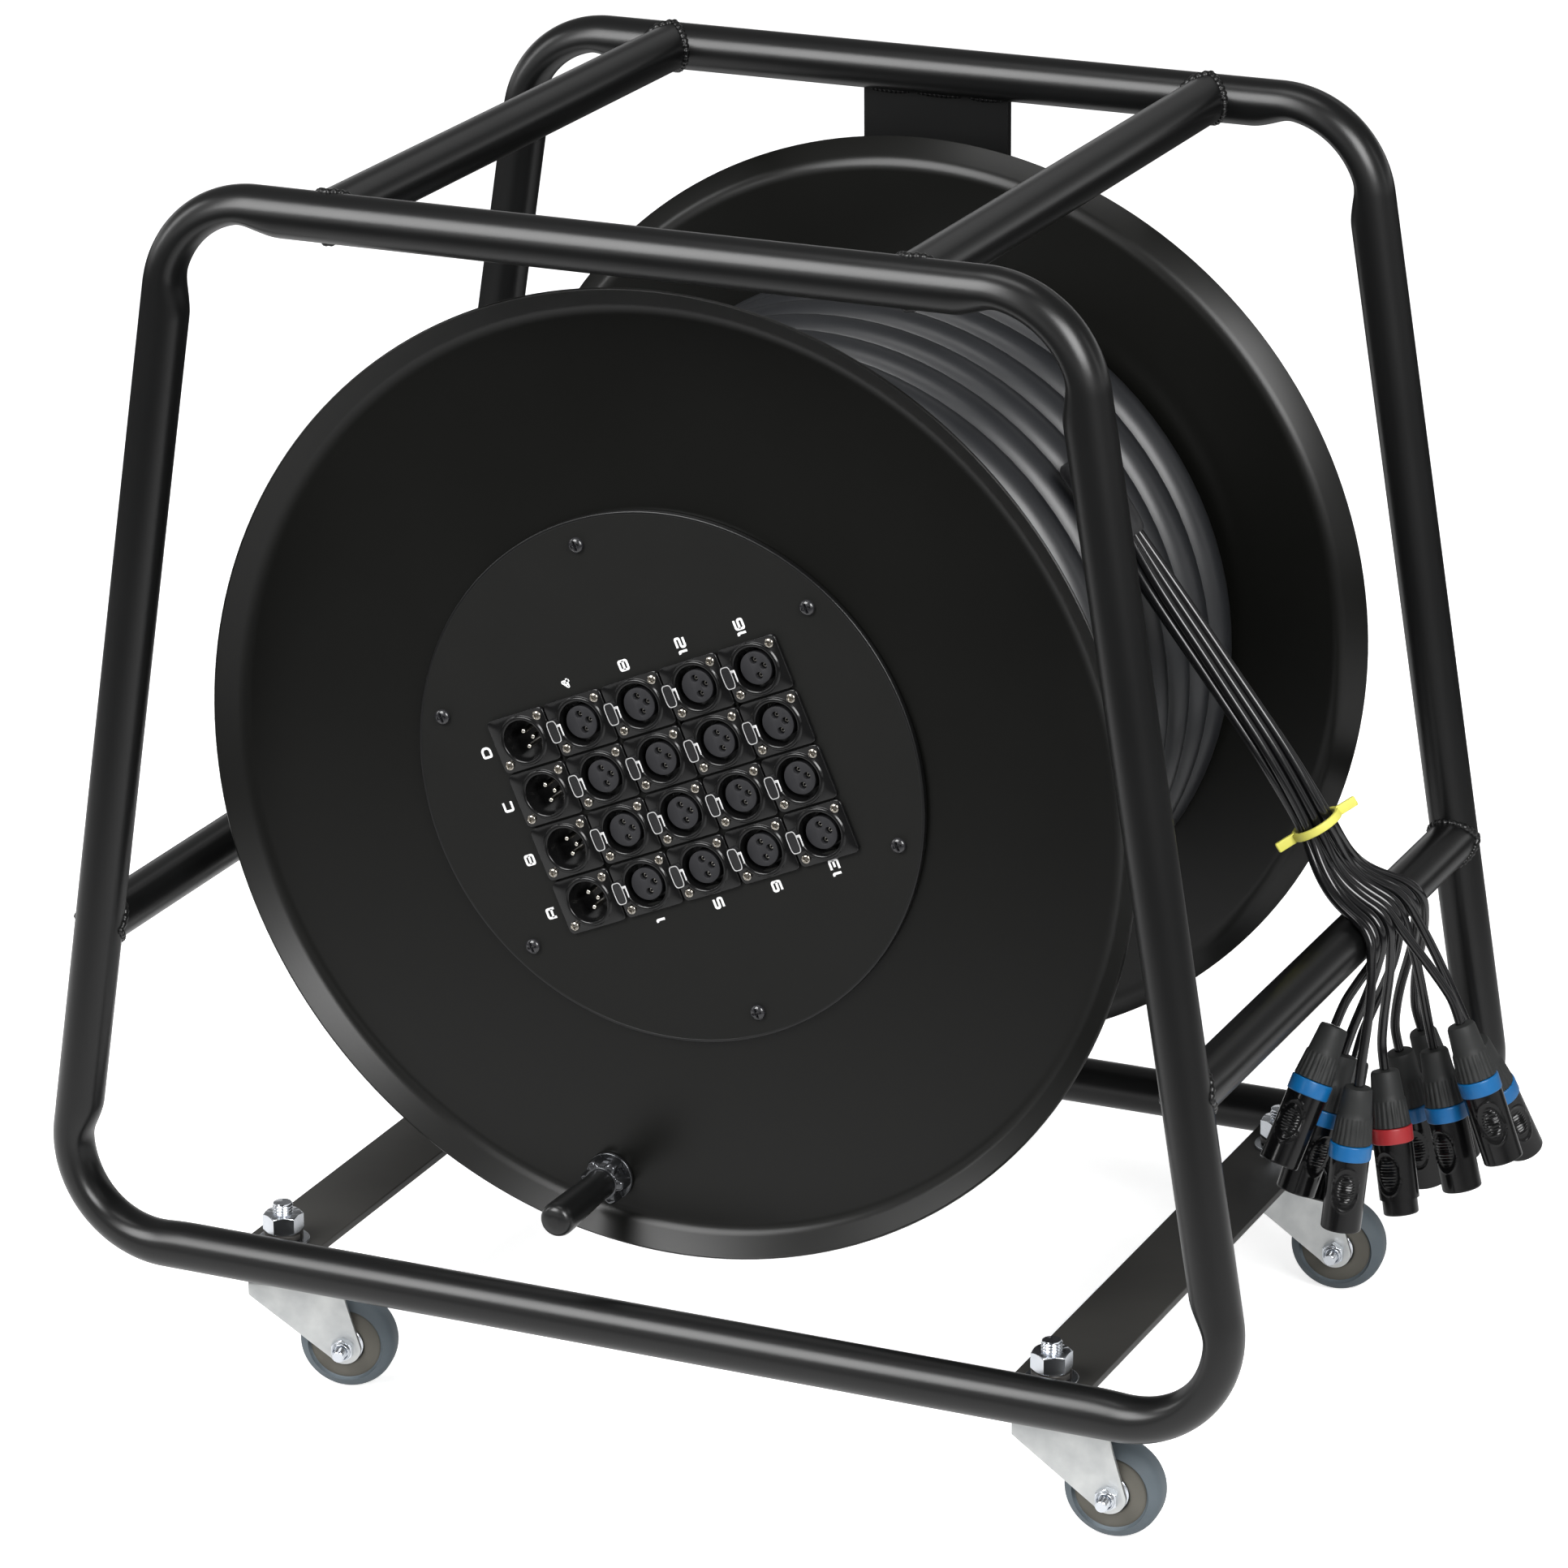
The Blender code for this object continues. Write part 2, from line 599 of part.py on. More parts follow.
def disc_profile(hole_r):
    """Sheet disc with a coned lip, as (radius, distance in front of its outer face)."""
    flat_end = DISC_R - LIP_RUN
    slope = math.atan2(LIP_DEPTH, LIP_RUN)
    outer = [(hole_r, 0.0)]
    inner = [(hole_r, -DISC_T)]
    tangent = LIP_BEND_R * math.tan(slope / 2)
    for i in range(3):
        angle = slope * i / 2
        r = flat_end - tangent + LIP_BEND_R * math.sin(angle)
        z = LIP_BEND_R * (1 - math.cos(angle))
        outer.append((r, z))
        inner.append((r + DISC_T * math.sin(angle), z - DISC_T * math.cos(angle)))
    outer.append((DISC_R - DISC_T * math.sin(slope), LIP_DEPTH))
    inner.append((DISC_R, LIP_DEPTH - DISC_T * math.cos(slope)))
    return outer + inner[::-1]


def winding_route():
    """Centre line of the outer layer: rings that step along the spool over their lower left half."""
    points = []
    for i in range(int((TURNS - 0.5) * POINTS_PER_TURN) + 1):
        turn = i / POINTS_PER_TURN
        ramp = max((turn % 1 - 0.5) / 0.5, 0.0)
        along = (int(turn) + ramp * ramp * (3 - 2 * ramp)) * TURN_PITCH
        angle = math.radians(135) - 2 * math.pi * turn
        points.append((TURN_R * math.cos(angle), SPOOL_REAR_Y - SEAT_GAP - TURN_PITCH / 2 - along,
                       AXLE_Z + TURN_R * math.sin(angle)))
    first = Vector(points[0]) - Vector(points[1])
    last = Vector(points[-1]) - Vector(points[-2])
    start = Vector(points[0]) + first.normalized() * CABLE_D
    end = Vector(points[-1]) + last.normalized() * CABLE_D
    return [tuple(start)] + points + [tuple(end)]


def winding_gap(points):
    """Least gap between one turn and the next, measured on the route's points."""
    places = np.array(points)
    least = 1.0
    for i in range(len(places) - POINTS_PER_TURN // 2 - 1):
        later = places[i + POINTS_PER_TURN // 2:]
        start, run = later[:-1], np.diff(later, axis=0)
        share = ((places[i] - start) * run).sum(1) / (run * run).sum(1)
        near = start + np.clip(share, 0, 1)[:, None] * run
        least = min(least, np.linalg.norm(near - places[i], axis=1).min())
    return least - CABLE_D


def build_spool():
    front = [(r, z) for r, z in disc_profile(FRONT_HOLE_R)]
    turned("front_disc", front, 48, disc_coat(), spool_frame(DISC_FACE_Y), closed=True)
    turned("rear_disc", disc_profile(REAR_HOLE_R), 48, disc_coat(),
           spool_frame(SPOOL_REAR_Y + DISC_T) @ Matrix.Rotation(math.pi, 4, "X"), closed=True)
    half = SPOOL_INNER_W / 2 - SEAT_GAP
    middle = spool_frame(SPOOL_BACK_SHIFT)
    bore = CORE_R - CORE_WALL
    turned("core_tube", [(bore, half), (CORE_R, half), (CORE_R, -half), (bore, -half)], 32,
           disc_coat(), middle, closed=True)
    chord = math.cos(math.pi / POINTS_PER_TURN)
    under = (TURN_R - CABLE_D / 2) * chord - 2 * SEAT_GAP
    turned("inner_cable_layers", [(CORE_R + SEAT_GAP, half), (under, half), (under, -half),
                                  (CORE_R + SEAT_GAP, -half)], 32, cable_jacket(), middle, closed=True)
    route = winding_route()
    print("winding gap %.2f mm, %d turns" % (winding_gap(route) / MM, TURNS))
    tube_along("outer_winding", route, CABLE_D / 2, 1, cable_jacket())


def build_bearing():
    """Stub spindle on the rear upright, the hub that turns on it, and the nut that holds it."""
    shaft = SPINDLE_D / 2
    flange_y = UPRIGHT_FACE_Y - SEAT_GAP
    hub_back = SPOOL_REAR_Y - SEAT_GAP
    hub_front = hub_back - HUB_LENGTH
    nut_back = hub_front - RUN_GAP
    nut_front = nut_back - SPINDLE_NUT_H
    steel = material("turned_steel", (0.42, 0.43, 0.45), 0.35, 1.0)
    thread = nut_front - 5 * MM
    reach = flange_y - thread
    profile = [(0, reach), (shaft - 3 * MM, reach), (shaft - 2 * MM, reach - 1 * MM),
               (shaft - 2 * MM, flange_y - nut_back), (shaft, flange_y - nut_back),
               (shaft, SPINDLE_FLANGE_T), (SPINDLE_FLANGE_D / 2, SPINDLE_FLANGE_T),
               (SPINDLE_FLANGE_D / 2, 0), (0, 0)]
    turned("spindle", profile, 24, steel, spool_frame(flange_y))
    bore = shaft + RUN_GAP
    profile = [(bore, HUB_LENGTH), (HUB_D / 2, HUB_LENGTH), (HUB_D / 2, HUB_FLANGE_T),
               (HUB_FLANGE_D / 2, HUB_FLANGE_T), (HUB_FLANGE_D / 2, 0), (bore, 0)]
    turned("bearing_hub", profile, 24, black_coat(), spool_frame(hub_back), closed=True)
    nut = hexagon("spindle_nut", SPINDLE_NUT_AF, 0, SPINDLE_NUT_H, zinc(), spool_frame(nut_back))
    hole = cylinder("nut_hole", shaft - 2 * MM + SEAT_GAP, -5 * MM, SPINDLE_NUT_H + 5 * MM, 24, None,
                    spool_frame(nut_back))
    combine(nut, hole, "DIFFERENCE")


# Socket panel

def socket_places():
    """Column, row and centre of each socket on the panel, row 0 at its top."""
    for row in range(SOCKET_ROWS):
        for column in range(SOCKET_COLUMNS):
            x = (column - (SOCKET_COLUMNS - 1) / 2) * SOCKET_PITCH_X + GRID_SHIFT_X
            y = ((SOCKET_ROWS - 1) / 2 - row) * SOCKET_PITCH_Y + GRID_SHIFT_Y
            yield column, row, x, y


def joined_copies(name, pattern, places):
    """Copies of a pattern's mesh at each place, as one mesh of separate bodies."""
    work = bmesh.new()
    for x, y in places:
        first = len(work.verts)
        work.from_mesh(pattern.data)
        work.verts.ensure_lookup_table()
        bmesh.ops.translate(work, verts=work.verts[first:], vec=(x, y, 0))
    mesh = bpy.data.meshes.new(name)
    work.to_mesh(mesh)
    work.free()
    matrix = pattern.matrix_world.copy()
    bpy.data.objects.remove(pattern)
    return add_object(name, mesh, None, matrix)


def build_panel():
    """Round plate with its sockets: flanges, barrels, entries, male pins and latch notches."""
    place = panel_frame(PANEL_BACK_Y)
    dark = material("panel_black", (0.030, 0.031, 0.031), 0.55)
    face = PANEL_T + FLANGE_T
    every = [(x, y) for _, _, x, y in socket_places()]
    male = [(x, y) for _, row, x, y in socket_places() if row == 0]
    female = [(x, y) for _, row, x, y in socket_places() if row > 0]
    panel = cylinder("socket_panel", PANEL_R, 0, PANEL_T, 48, dark, place)
    flange = plate("flange", rounded_rectangle(FLANGE_W, FLANGE_H, FLANGE_CORNER_R),
                   PANEL_T - 1 * MM, face, None, place)
    panel = combine(panel, joined_copies("flanges", flange, every), "UNION")
    barrel = cylinder("barrel", BARREL_R, -BARREL_BACK, PANEL_T + 0.5 * MM, 8, None, place)
    panel = combine(panel, joined_copies("barrels", barrel, every), "UNION")
    top = face + 4 * MM
    entry = turned("entry", [(0, top), (FEMALE_ENTRY_R, top), (FEMALE_ENTRY_R, face - FEMALE_DEPTH),
                             (FEMALE_INSERT_R, face - FEMALE_DEPTH),
                             (FEMALE_INSERT_R, face - FEMALE_INSERT_SINK),
                             (0, face - FEMALE_INSERT_SINK)], 10, None, place)
    panel = combine(panel, joined_copies("entries", entry, female), "DIFFERENCE")
    cup = cylinder("cup", MALE_ENTRY_R, face - MALE_DEPTH, top, 10, None, place)
    panel = combine(panel, joined_copies("cups", cup, male), "DIFFERENCE")
    pins = [(x + PIN_CIRCLE_R * math.cos(a), y + PIN_CIRCLE_R * math.sin(a))
            for x, y in male for a in (0, math.pi, 1.5 * math.pi)]
    pin = cylinder("pin", PIN_R, face - MALE_DEPTH - 2 * MM, face - PIN_SINK, 6, None, place)
    panel = combine(panel, joined_copies("pins", pin, pins), "UNION")
    notch_w, notch_h = LATCH_W + 2 * SEAT_GAP, LATCH_H + 2 * SEAT_GAP
    notch = box("notch", (-notch_w / 2, LATCH_CENTRE - notch_h / 2, PANEL_T - 0.2 * MM),
                (notch_w / 2, LATCH_CENTRE + notch_h, top), None, place)
    return combine(panel, joined_copies("notches", notch, female), "DIFFERENCE")


def build_latches():
    """One sprung release tab at the top of each female socket."""
    rest = PANEL_T - 0.2 * MM + LATCH_TRAVEL + SEAT_GAP
    outline = rounded_rectangle(LATCH_W, LATCH_H, LATCH_CORNER_R)
    plastic = material("latch_black", (0.030, 0.030, 0.032), 0.38)
    number = 0
    for column, row, x, y in socket_places():
        if row == 0:
            continue
        number += 1
        place = panel_frame(PANEL_BACK_Y) @ Matrix.Translation((x, y + LATCH_CENTRE, 0))
        plate("push_latch_%02d" % number, outline, rest, rest + LATCH_T, plastic, place)


# Crank

def lobed_outline(radius, lobe, lobes, steps):
    points = []
    for i in range(steps):
        angle = 2 * math.pi * i / steps
        reach = radius + lobe * math.cos(lobes * angle)
        points.append((reach * math.cos(angle), reach * math.sin(angle)))
    return points


def build_crank():
    angle = math.radians(CRANK_ANGLE)
    place = spool_frame(DISC_FACE_Y - SEAT_GAP)
    place = place @ Matrix.Translation((CRANK_R * math.cos(angle), CRANK_R * math.sin(angle), 0))
    pin = CRANK_PIN_D / 2
    nut_top = CRANK_WASHER_T + CRANK_NUT_H
    grip_end = nut_top + SEAT_GAP + GRIP_LENGTH
    pin_end = grip_end - GRIP_END_WALL
    profile = [(0, pin_end), (pin, pin_end), (pin, CRANK_WASHER_T),
               (CRANK_WASHER_D / 2, CRANK_WASHER_T), (CRANK_WASHER_D / 2, 0), (0, 0)]
    stud = turned("crank_stud", profile, 12, zinc(), place)
    lobes = lobed_outline(CRANK_NUT_R, CRANK_NUT_LOBE, CRANK_NUT_LOBES, 24)
    nut = plate("lobed_nut", lobes, CRANK_WASHER_T - 0.3 * MM, nut_top, None, place)
    combine(stud, nut, "UNION")
    start = nut_top + SEAT_GAP
    base, end = GRIP_BASE_D / 2, GRIP_END_D / 2
    profile = [(0, grip_end), (end * 0.55, grip_end - 0.6 * MM), (end * 0.88, grip_end - 2.6 * MM),
               (end, grip_end - 6 * MM), (end * 0.98, grip_end - 12 * MM), (base, start + 6 * MM),
               (base + 0.6 * MM, start + 3 * MM), (base, start), (pin + RUN_GAP, start),
               (pin + RUN_GAP, pin_end + SEAT_GAP), (0, pin_end + SEAT_GAP)]
    rubber = material("grip_black", (0.028, 0.028, 0.030), 0.45)
    turned("crank_grip", profile, 16, rubber, place)


# Fan-out tails, tie and line connectors. Places are (x, y, height above the bottom tube).

BUNDLE_ROUTE = [(138, 26, 377), (150, 27, 359), (170, 30, 329), (204, 33, 283), (238, 36, 236),
                (253, 40, 210), (258, 41, 202)]
TIE_EARS = (0.69, 0.51, 0.51)  # the direction in which its ends stand out
# Each line connector, in order along the crossbar: its ring's centre and how far it leans
CONNECTORS = [
    ((286, 4, 65), (-0.06, -0.13)),
    ((266, 2, 94), (-0.27, -0.44)),
    ((266, 20, 73), (-0.24, -0.30)),
    ((292, 46, 58), (0.20, -0.14)),
    ((330, 60, 84), (0.35, 0.02)),
    ((265, 47, 59), (-0.10, -0.50)),
    ((311, 69, 64), (0.26, -0.05)),
    ((324, 106, 63), (0.29, 0.42)),
    ((284, 99, 49), (0.21, 0.09)),
    ((290, 122, 53), (0.29, 0.13)),
]
FEMALE_CONNECTORS = (3, 5)
LANE_START = 22.0 * MM
LANE_PITCH = 6.2 * MM


def from_tube(point):
    """A point given in millimetres, its height counted from the bottom tube's centre."""
    return Vector((point[0] * MM, point[1] * MM, TUBE_Z + point[2] * MM))


def leaning_down(lean):
    return Vector((lean[0], lean[1], -1)).normalized()


def tail_route(index, ring, lean):
    """Route of one tail: out of the bundle, over the crossbar, down to its connector's boot."""
    middle = index - (len(CONNECTORS) - 1) / 2
    down = leaning_down(lean)
    boot = from_tube(ring) - down * (CONNECTOR_BOOT + SEAT_GAP)
    lane = LANE_START + index * LANE_PITCH
    reach = TUBE_R + TAIL_D / 2 + 1.6 * MM
    knots = [from_tube(BUNDLE_ROUTE[-1]) + Vector((-1, middle * 1.7, 1 + 2 * (index % 2))) * MM]
    for degrees, share in ((100, 0), (70, 0.08), (40, 0.18), (12, 0.3)):
        angle = math.radians(degrees)
        knots.append(Vector((leg_x(LOWER_BAR_RISE) + reach * math.cos(angle),
                             lane + share * (boot.y - lane),
                             TUBE_Z + LOWER_BAR_RISE + reach * math.sin(angle))))
    return knots + [boot - down * TAIL_STRAIGHT, boot]


def build_connector(name, ring, lean, male):
    """Boot, coding ring and shell of one line connector, turned as one piece."""
    place = aim(from_tube(ring), -leaning_down(lean))
    half = CONNECTOR_RING_H / 2
    hollow = 9 * MM if male else 3 * MM
    end = -CONNECTOR_SHELL
    neck = half + COLLAR_H
    profile = [(0, CONNECTOR_BOOT), (BOOT_TIP_R, CONNECTOR_BOOT),
               (BOOT_TIP_R + 0.9 * MM, neck + COLLAR_STEP), (BOOT_BASE_R, neck),
               (BOOT_BASE_R + 0.3 * MM, half),
               (CONNECTOR_RING_R, half), (CONNECTOR_RING_R, -half), (CONNECTOR_SHELL_R, -half),
               (CONNECTOR_SHELL_R, end), (CONNECTOR_SHELL_R - 1.3 * MM, end),
               (CONNECTOR_SHELL_R - 1.5 * MM, end + hollow), (0, end + hollow)]
    black = material("connector_black", (0.022, 0.022, 0.024), 0.3)
    return turned(name, profile, 10, black, place)


def build_tails():
    jacket = material("tail_jacket", (0.020, 0.020, 0.022), 0.25)
    route = [from_tube(p) for p in BUNDLE_ROUTE]
    bundle = tube_along("fanout_tails", smooth_route(route, 2 * BUNDLE_D), BUNDLE_D / 2, 2, jacket)
    sleeve = cylinder("sleeve", SLEEVE_D / 2, -2 * MM, SLEEVE_LENGTH, 12, None,
                      aim(route[0], route[1] - route[0]))
    bundle = combine(bundle, sleeve, "UNION")
    for index, (ring, lean) in enumerate(CONNECTORS):
        points = smooth_route(tail_route(index, ring, lean), 2.3 * TAIL_D)
        bundle = combine(bundle, tube_along("tail", points, TAIL_D / 2, 2, None), "UNION")
        male = index not in FEMALE_CONNECTORS
        build_connector("line_connector_%02d" % (index + 1), ring, lean, male)
    return bundle


def build_tie():
    """Yellow tie: a flat band round the bundle, near its end, whose two ends stand out as ears."""
    before, here, after = [from_tube(point) for point in BUNDLE_ROUTE[-3:]]
    along = (after - before).normalized()
    side = along.cross(Vector(TIE_EARS)).normalized()
    place = Matrix.Translation(here) @ Matrix((side, along.cross(side) * -1, along)).transposed().to_4x4()
    inner = BUNDLE_D / 2 + 0.9 * MM
    outer = inner + TIE_BAND_T
    half = TIE_BAND_W / 2
    yellow = material("yellow_tie", (0.80, 0.74, 0.10), 0.45)
    band = turned("bundle_tie", [(inner, half), (outer, half), (outer, -half), (inner, -half)], 16,
                  yellow, place, closed=True)
    for low, high in ((inner + 0.8 * MM, outer + TIE_EAR), (-outer - TIE_EAR, -inner - 0.8 * MM)):
        ear = box("ear", (-1.1 * MM, low, -half * 0.8), (1.1 * MM, high, half * 0.8), None, place)
        band = combine(band, ear, "UNION")
    return band


def build():
    for item in list(bpy.data.objects):
        bpy.data.objects.remove(item)
    build_frame()
    build_castors()
    build_spool()
    build_bearing()
    build_panel()
    build_latches()
    build_crank()
    build_tails()
    build_tie()
    for item in collection().objects:
        item.data.shade_smooth()
        item.data.set_sharp_from_angle(angle=math.radians(35))


build()
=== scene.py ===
"""Looks of the multicore cable drum, over the frame made from its CAD model.

The frame is +X to the right, +Y to the back, +Z up, the floor at z = 0. The drum's sizes and places
are in millimetres, and piece() makes them metres. The stage and the camera are in metres.
"""
import math
from collections import namedtuple

import bmesh
import bpy
import numpy as np
from mathutils import Matrix, Vector


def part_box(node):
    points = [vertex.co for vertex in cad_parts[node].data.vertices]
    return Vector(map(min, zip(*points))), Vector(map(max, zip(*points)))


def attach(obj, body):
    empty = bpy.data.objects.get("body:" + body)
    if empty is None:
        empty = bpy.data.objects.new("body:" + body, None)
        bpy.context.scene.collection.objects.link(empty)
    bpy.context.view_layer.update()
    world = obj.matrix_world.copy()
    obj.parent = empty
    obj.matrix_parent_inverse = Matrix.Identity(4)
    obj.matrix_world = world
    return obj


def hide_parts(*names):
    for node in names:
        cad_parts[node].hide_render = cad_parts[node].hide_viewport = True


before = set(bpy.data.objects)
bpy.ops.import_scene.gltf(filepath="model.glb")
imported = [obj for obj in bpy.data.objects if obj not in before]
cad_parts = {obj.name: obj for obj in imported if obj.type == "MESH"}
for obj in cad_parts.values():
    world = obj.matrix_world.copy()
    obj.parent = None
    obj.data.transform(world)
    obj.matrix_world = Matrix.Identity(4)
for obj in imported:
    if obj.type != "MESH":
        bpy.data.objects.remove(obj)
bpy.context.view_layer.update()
MM = 0.001

# Floor, backdrop and light. The drum stands near the front of a white sweep of paper, under wide
# soft boxes, in a darker room. The camera sees white paper all round, and so does bare metal.


class Value:
    """An output of a shader node. A sum of Values makes the nodes that work the sum out."""

    def __init__(self, socket):
        self.socket = socket

    def node(self, kind, settings=(), inputs=(), output=0):
        """A new node beside this one: its type, its settings, and numbers or Values as inputs."""
        tree = self.socket.id_data
        made = tree.nodes.new(kind)
        for name, setting in dict(settings).items():
            setattr(made, name, setting)
        for name, given in dict(inputs).items():
            if isinstance(given, Value):
                tree.links.new(given.socket, made.inputs[name])
            else:
                made.inputs[name].default_value = given
        return Value(made.outputs[output])

    def maths(self, operation, first, second=0.0):
        return self.node("ShaderNodeMath", {"operation": operation}, {0: first, 1: second})

    def __add__(self, other):
        return self.maths("ADD", self, other)

    def __sub__(self, other):
        return self.maths("SUBTRACT", self, other)

    def __rsub__(self, other):
        return self.maths("SUBTRACT", other, self)

    def __mul__(self, other):
        return self.maths("MULTIPLY", self, other)

    def __gt__(self, other):
        return self.maths("GREATER_THAN", self, other)

    __radd__ = __add__
    __rmul__ = __mul__

    def held(self):
        """The value kept between 0 and 1."""
        return self.node("ShaderNodeClamp", (), {"Value": self})

    def along(self, axis):
        """The part of a place or a direction along X, Y or Z, which are axis 0, 1 and 2."""
        return self.node("ShaderNodeSeparateXYZ", (), {0: self}, output=axis)

    def noise(self, scale, detail=2.0):
        """Soft noise of this many waves a metre, 0 to 1, about 0.5 on average."""
        return self.node("ShaderNodeTexNoise", (), {"Vector": self, "Scale": scale, "Detail": detail})

    def between(self, low, high):
        """A colour from low, where this is 0, to high, where it is 1."""
        return self.node("ShaderNodeMix", {"data_type": "RGBA"},
                         {0: self, 6: (*low, 1.0), 7: (*high, 1.0)}, output=2)

    def feed(self, socket):
        self.socket.id_data.links.new(self.socket, socket)


def coordinates(owner, kind="Object"):
    """The place, or for a world the direction, that is being shaded."""
    return Value(owner.node_tree.nodes.new("ShaderNodeTexCoord").outputs[kind])


def looked_at(owner):
    """1 where the camera sees this directly, in a reflection or through something clear, else 0."""
    ray = owner.node_tree.nodes.new("ShaderNodeLightPath").outputs
    return (Value(ray["Is Camera Ray"]) + Value(ray["Is Glossy Ray"])
            + Value(ray["Is Transmission Ray"])) > 0.5


def linked(name, data):
    """A new object in the scene that holds this mesh, curve, lamp or camera."""
    made = bpy.data.objects.new(name, data)
    bpy.context.scene.collection.objects.link(made)
    return made


world = bpy.data.worlds.new("paper_sweep")
bpy.context.scene.world = world
world.use_nodes = True
ROOM_LEVEL, CEILING_LEVEL, SWEEP_TOP, SWEEP_FADE = 0.26, 0.16, 0.06, 0.15
height = coordinates(world, "Generated").along(2)
sweep = (height * (-1.0 / SWEEP_FADE) + (1.0 + SWEEP_TOP / SWEEP_FADE)).held()
seen = sweep * (1.0 - CEILING_LEVEL) + (CEILING_LEVEL - ROOM_LEVEL)
background = world.node_tree.nodes["Background"].inputs
(looked_at(world) * seen + ROOM_LEVEL).feed(background["Strength"])
background["Color"].default_value = (1, 1, 1, 1)

FLOOR_HALF = 14.0
floor_mesh = bpy.data.meshes.new("floor")
floor_mesh.from_pydata([(x * FLOOR_HALF, y * FLOOR_HALF, 0) for x, y in ((-1, -1), (1, -1), (1, 1), (-1, 1))],
                       [], [(0, 1, 2, 3)])
floor = linked("floor", floor_mesh)
paper = bpy.data.materials.new("paper")
paper.use_nodes = True
paper_inputs = paper.node_tree.nodes["Principled BSDF"].inputs
paper_inputs["Roughness"].default_value = 0.95
paper_inputs["Specular IOR Level"].default_value = 0.0
paper_inputs["Emission Color"].default_value = (1, 1, 1, 1)
PAPER_GLOW, PAPER_SHARE, PAPER_FADE = 0.70, 0.58, 0.85
PAPER_FRONT, PAPER_SIDE, PAPER_BACK = 1.05, 1.70, 1.15
spot = coordinates(paper)
ahead = spot.along(1)
aside = spot.maths("ABSOLUTE", spot.along(0))
camera_ray = Value(paper.node_tree.nodes.new("ShaderNodeLightPath").outputs["Is Camera Ray"])
near = 1.0
for margin in (ahead + PAPER_FRONT, PAPER_BACK - ahead, PAPER_SIDE - aside):
    near = (margin * (1.0 / PAPER_FADE)).held() * near
white = (camera_ray + near * PAPER_SHARE).held()
white.between((0.05, 0.05, 0.05), (0.92, 0.92, 0.92)).feed(paper_inputs["Base Color"])
(looked_at(paper) * white * PAPER_GLOW).feed(paper_inputs["Emission Strength"])
floor_mesh.materials.append(paper)
lamps = []
for name, place, size, power in (("soft_box_front_left", (-1.0, -1.95, 1.95), (1.4, 1.7), 82.0),
                                 ("soft_box_front_right", (1.75, -1.45, 1.65), (1.15, 1.25), 62.0),
                                 ("soft_box_top", (0.0, -0.3, 2.6), (1.2, 0.5), 8.0),
                                 ("soft_box_left", (-2.3, -0.6, 1.3), (0.4, 1.2), 10.0),
                                 ("soft_box_right", (2.4, 0.6, 1.4), (0.4, 1.2), 2.5),
                                 ("soft_box_back", (0.2, 2.2, 2.0), (1.6, 0.5), 1.5)):
    light = bpy.data.lights.new(name, "AREA")
    light.shape = "RECTANGLE"
    light.size, light.size_y = size
    light.energy = power
    aim = (Vector((0, 0, 0.3)) - Vector(place)).to_track_quat("-Z", "Y")
    lamps.append(linked(name, light))
    lamps[-1].matrix_world = Matrix.Translation(place) @ aim.to_matrix().to_4x4()
bpy.context.scene.view_settings.view_transform = "Standard"

# Camera. Its place, turn and lens were solved from the photograph: it stands right of the drum,
# a little above it, about 2.9 m away, with a long lens.
CAMERA_AT = (1.2070, -2.6558, 1.3227)
AZIMUTH, ELEVATION, ROLL = math.radians(24.51), math.radians(19.58), math.radians(-0.42)
lens = bpy.data.cameras.new("camera")
lens.sensor_width = 36.0
lens.lens = 149.2
lens.shift_x, lens.shift_y = 0.0028, -0.0026
camera = linked("camera", lens)
camera.matrix_world = (Matrix.Translation(CAMERA_AT) @ Matrix.Rotation(AZIMUTH, 4, "Z")
                       @ Matrix.Rotation(math.pi / 2 - ELEVATION, 4, "X") @ Matrix.Rotation(ROLL, 4, "Z"))
bpy.context.scene.camera = camera

# Hoops. Two trapezoid hoops of 23 mm steel tube, bent cold, so that the inner wall of each bend is
# pressed flat with a crease at its ends, then powder coated satin black.


Corner = namedtuple("Corner", "x y z")


def box(node):
    """The low and the high corner of a CAD node's box, in millimetres."""
    return [Corner(*(value / MM for value in corner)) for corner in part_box(node)]


def unit(rows):
    """Each row of numbers divided by its own length."""
    return rows / np.linalg.norm(rows, axis=-1, keepdims=True)


def around(count):
    """This many angles, evenly spaced once round."""
    return np.linspace(0, math.tau, count, endpoint=False)


def put(points, matrix):
    """Points carried by a 4 by 4 matrix."""
    matrix = np.array(matrix)
    return points @ matrix[:3, :3].T + matrix[:3, 3]


def tube(path, radius, columns=24, across=(0, 1, 0), loop=False, pressed=0.0):
    """Rings round a path.

    point(s, a) = path(s) + radius * (side(s) * c + rise(s) * sin a), where side is square to the
    path's direction and to across, rise is square to both, and c is cos a, less the pressed share
    of it where it is under 0, which is the side that faces into a bend.
    """
    path = np.asarray(path, float)
    run = np.roll(path, -1, 0) - np.roll(path, 1, 0) if loop else np.gradient(path, axis=0)
    side = unit(np.cross(run, across))[:, None]
    rise = np.cross(side, unit(run)[:, None])
    a = around(columns)[None, :, None]
    c = np.cos(a) * np.where(np.cos(a) < 0, 1 - np.reshape(pressed, (-1, 1, 1)), 1)
    return path[:, None] + np.reshape(radius, (-1, 1, 1)) * (side * c + rise * np.sin(a))


def finished(name, mesh, material, body, sharp=38):
    """The object of a mesh, in its material. It rides on a body."""
    mesh.shade_smooth()
    mesh.set_sharp_from_angle(angle=math.radians(sharp))
    mesh.materials.append(material)
    made = linked(name, mesh)
    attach(made, body)
    return made


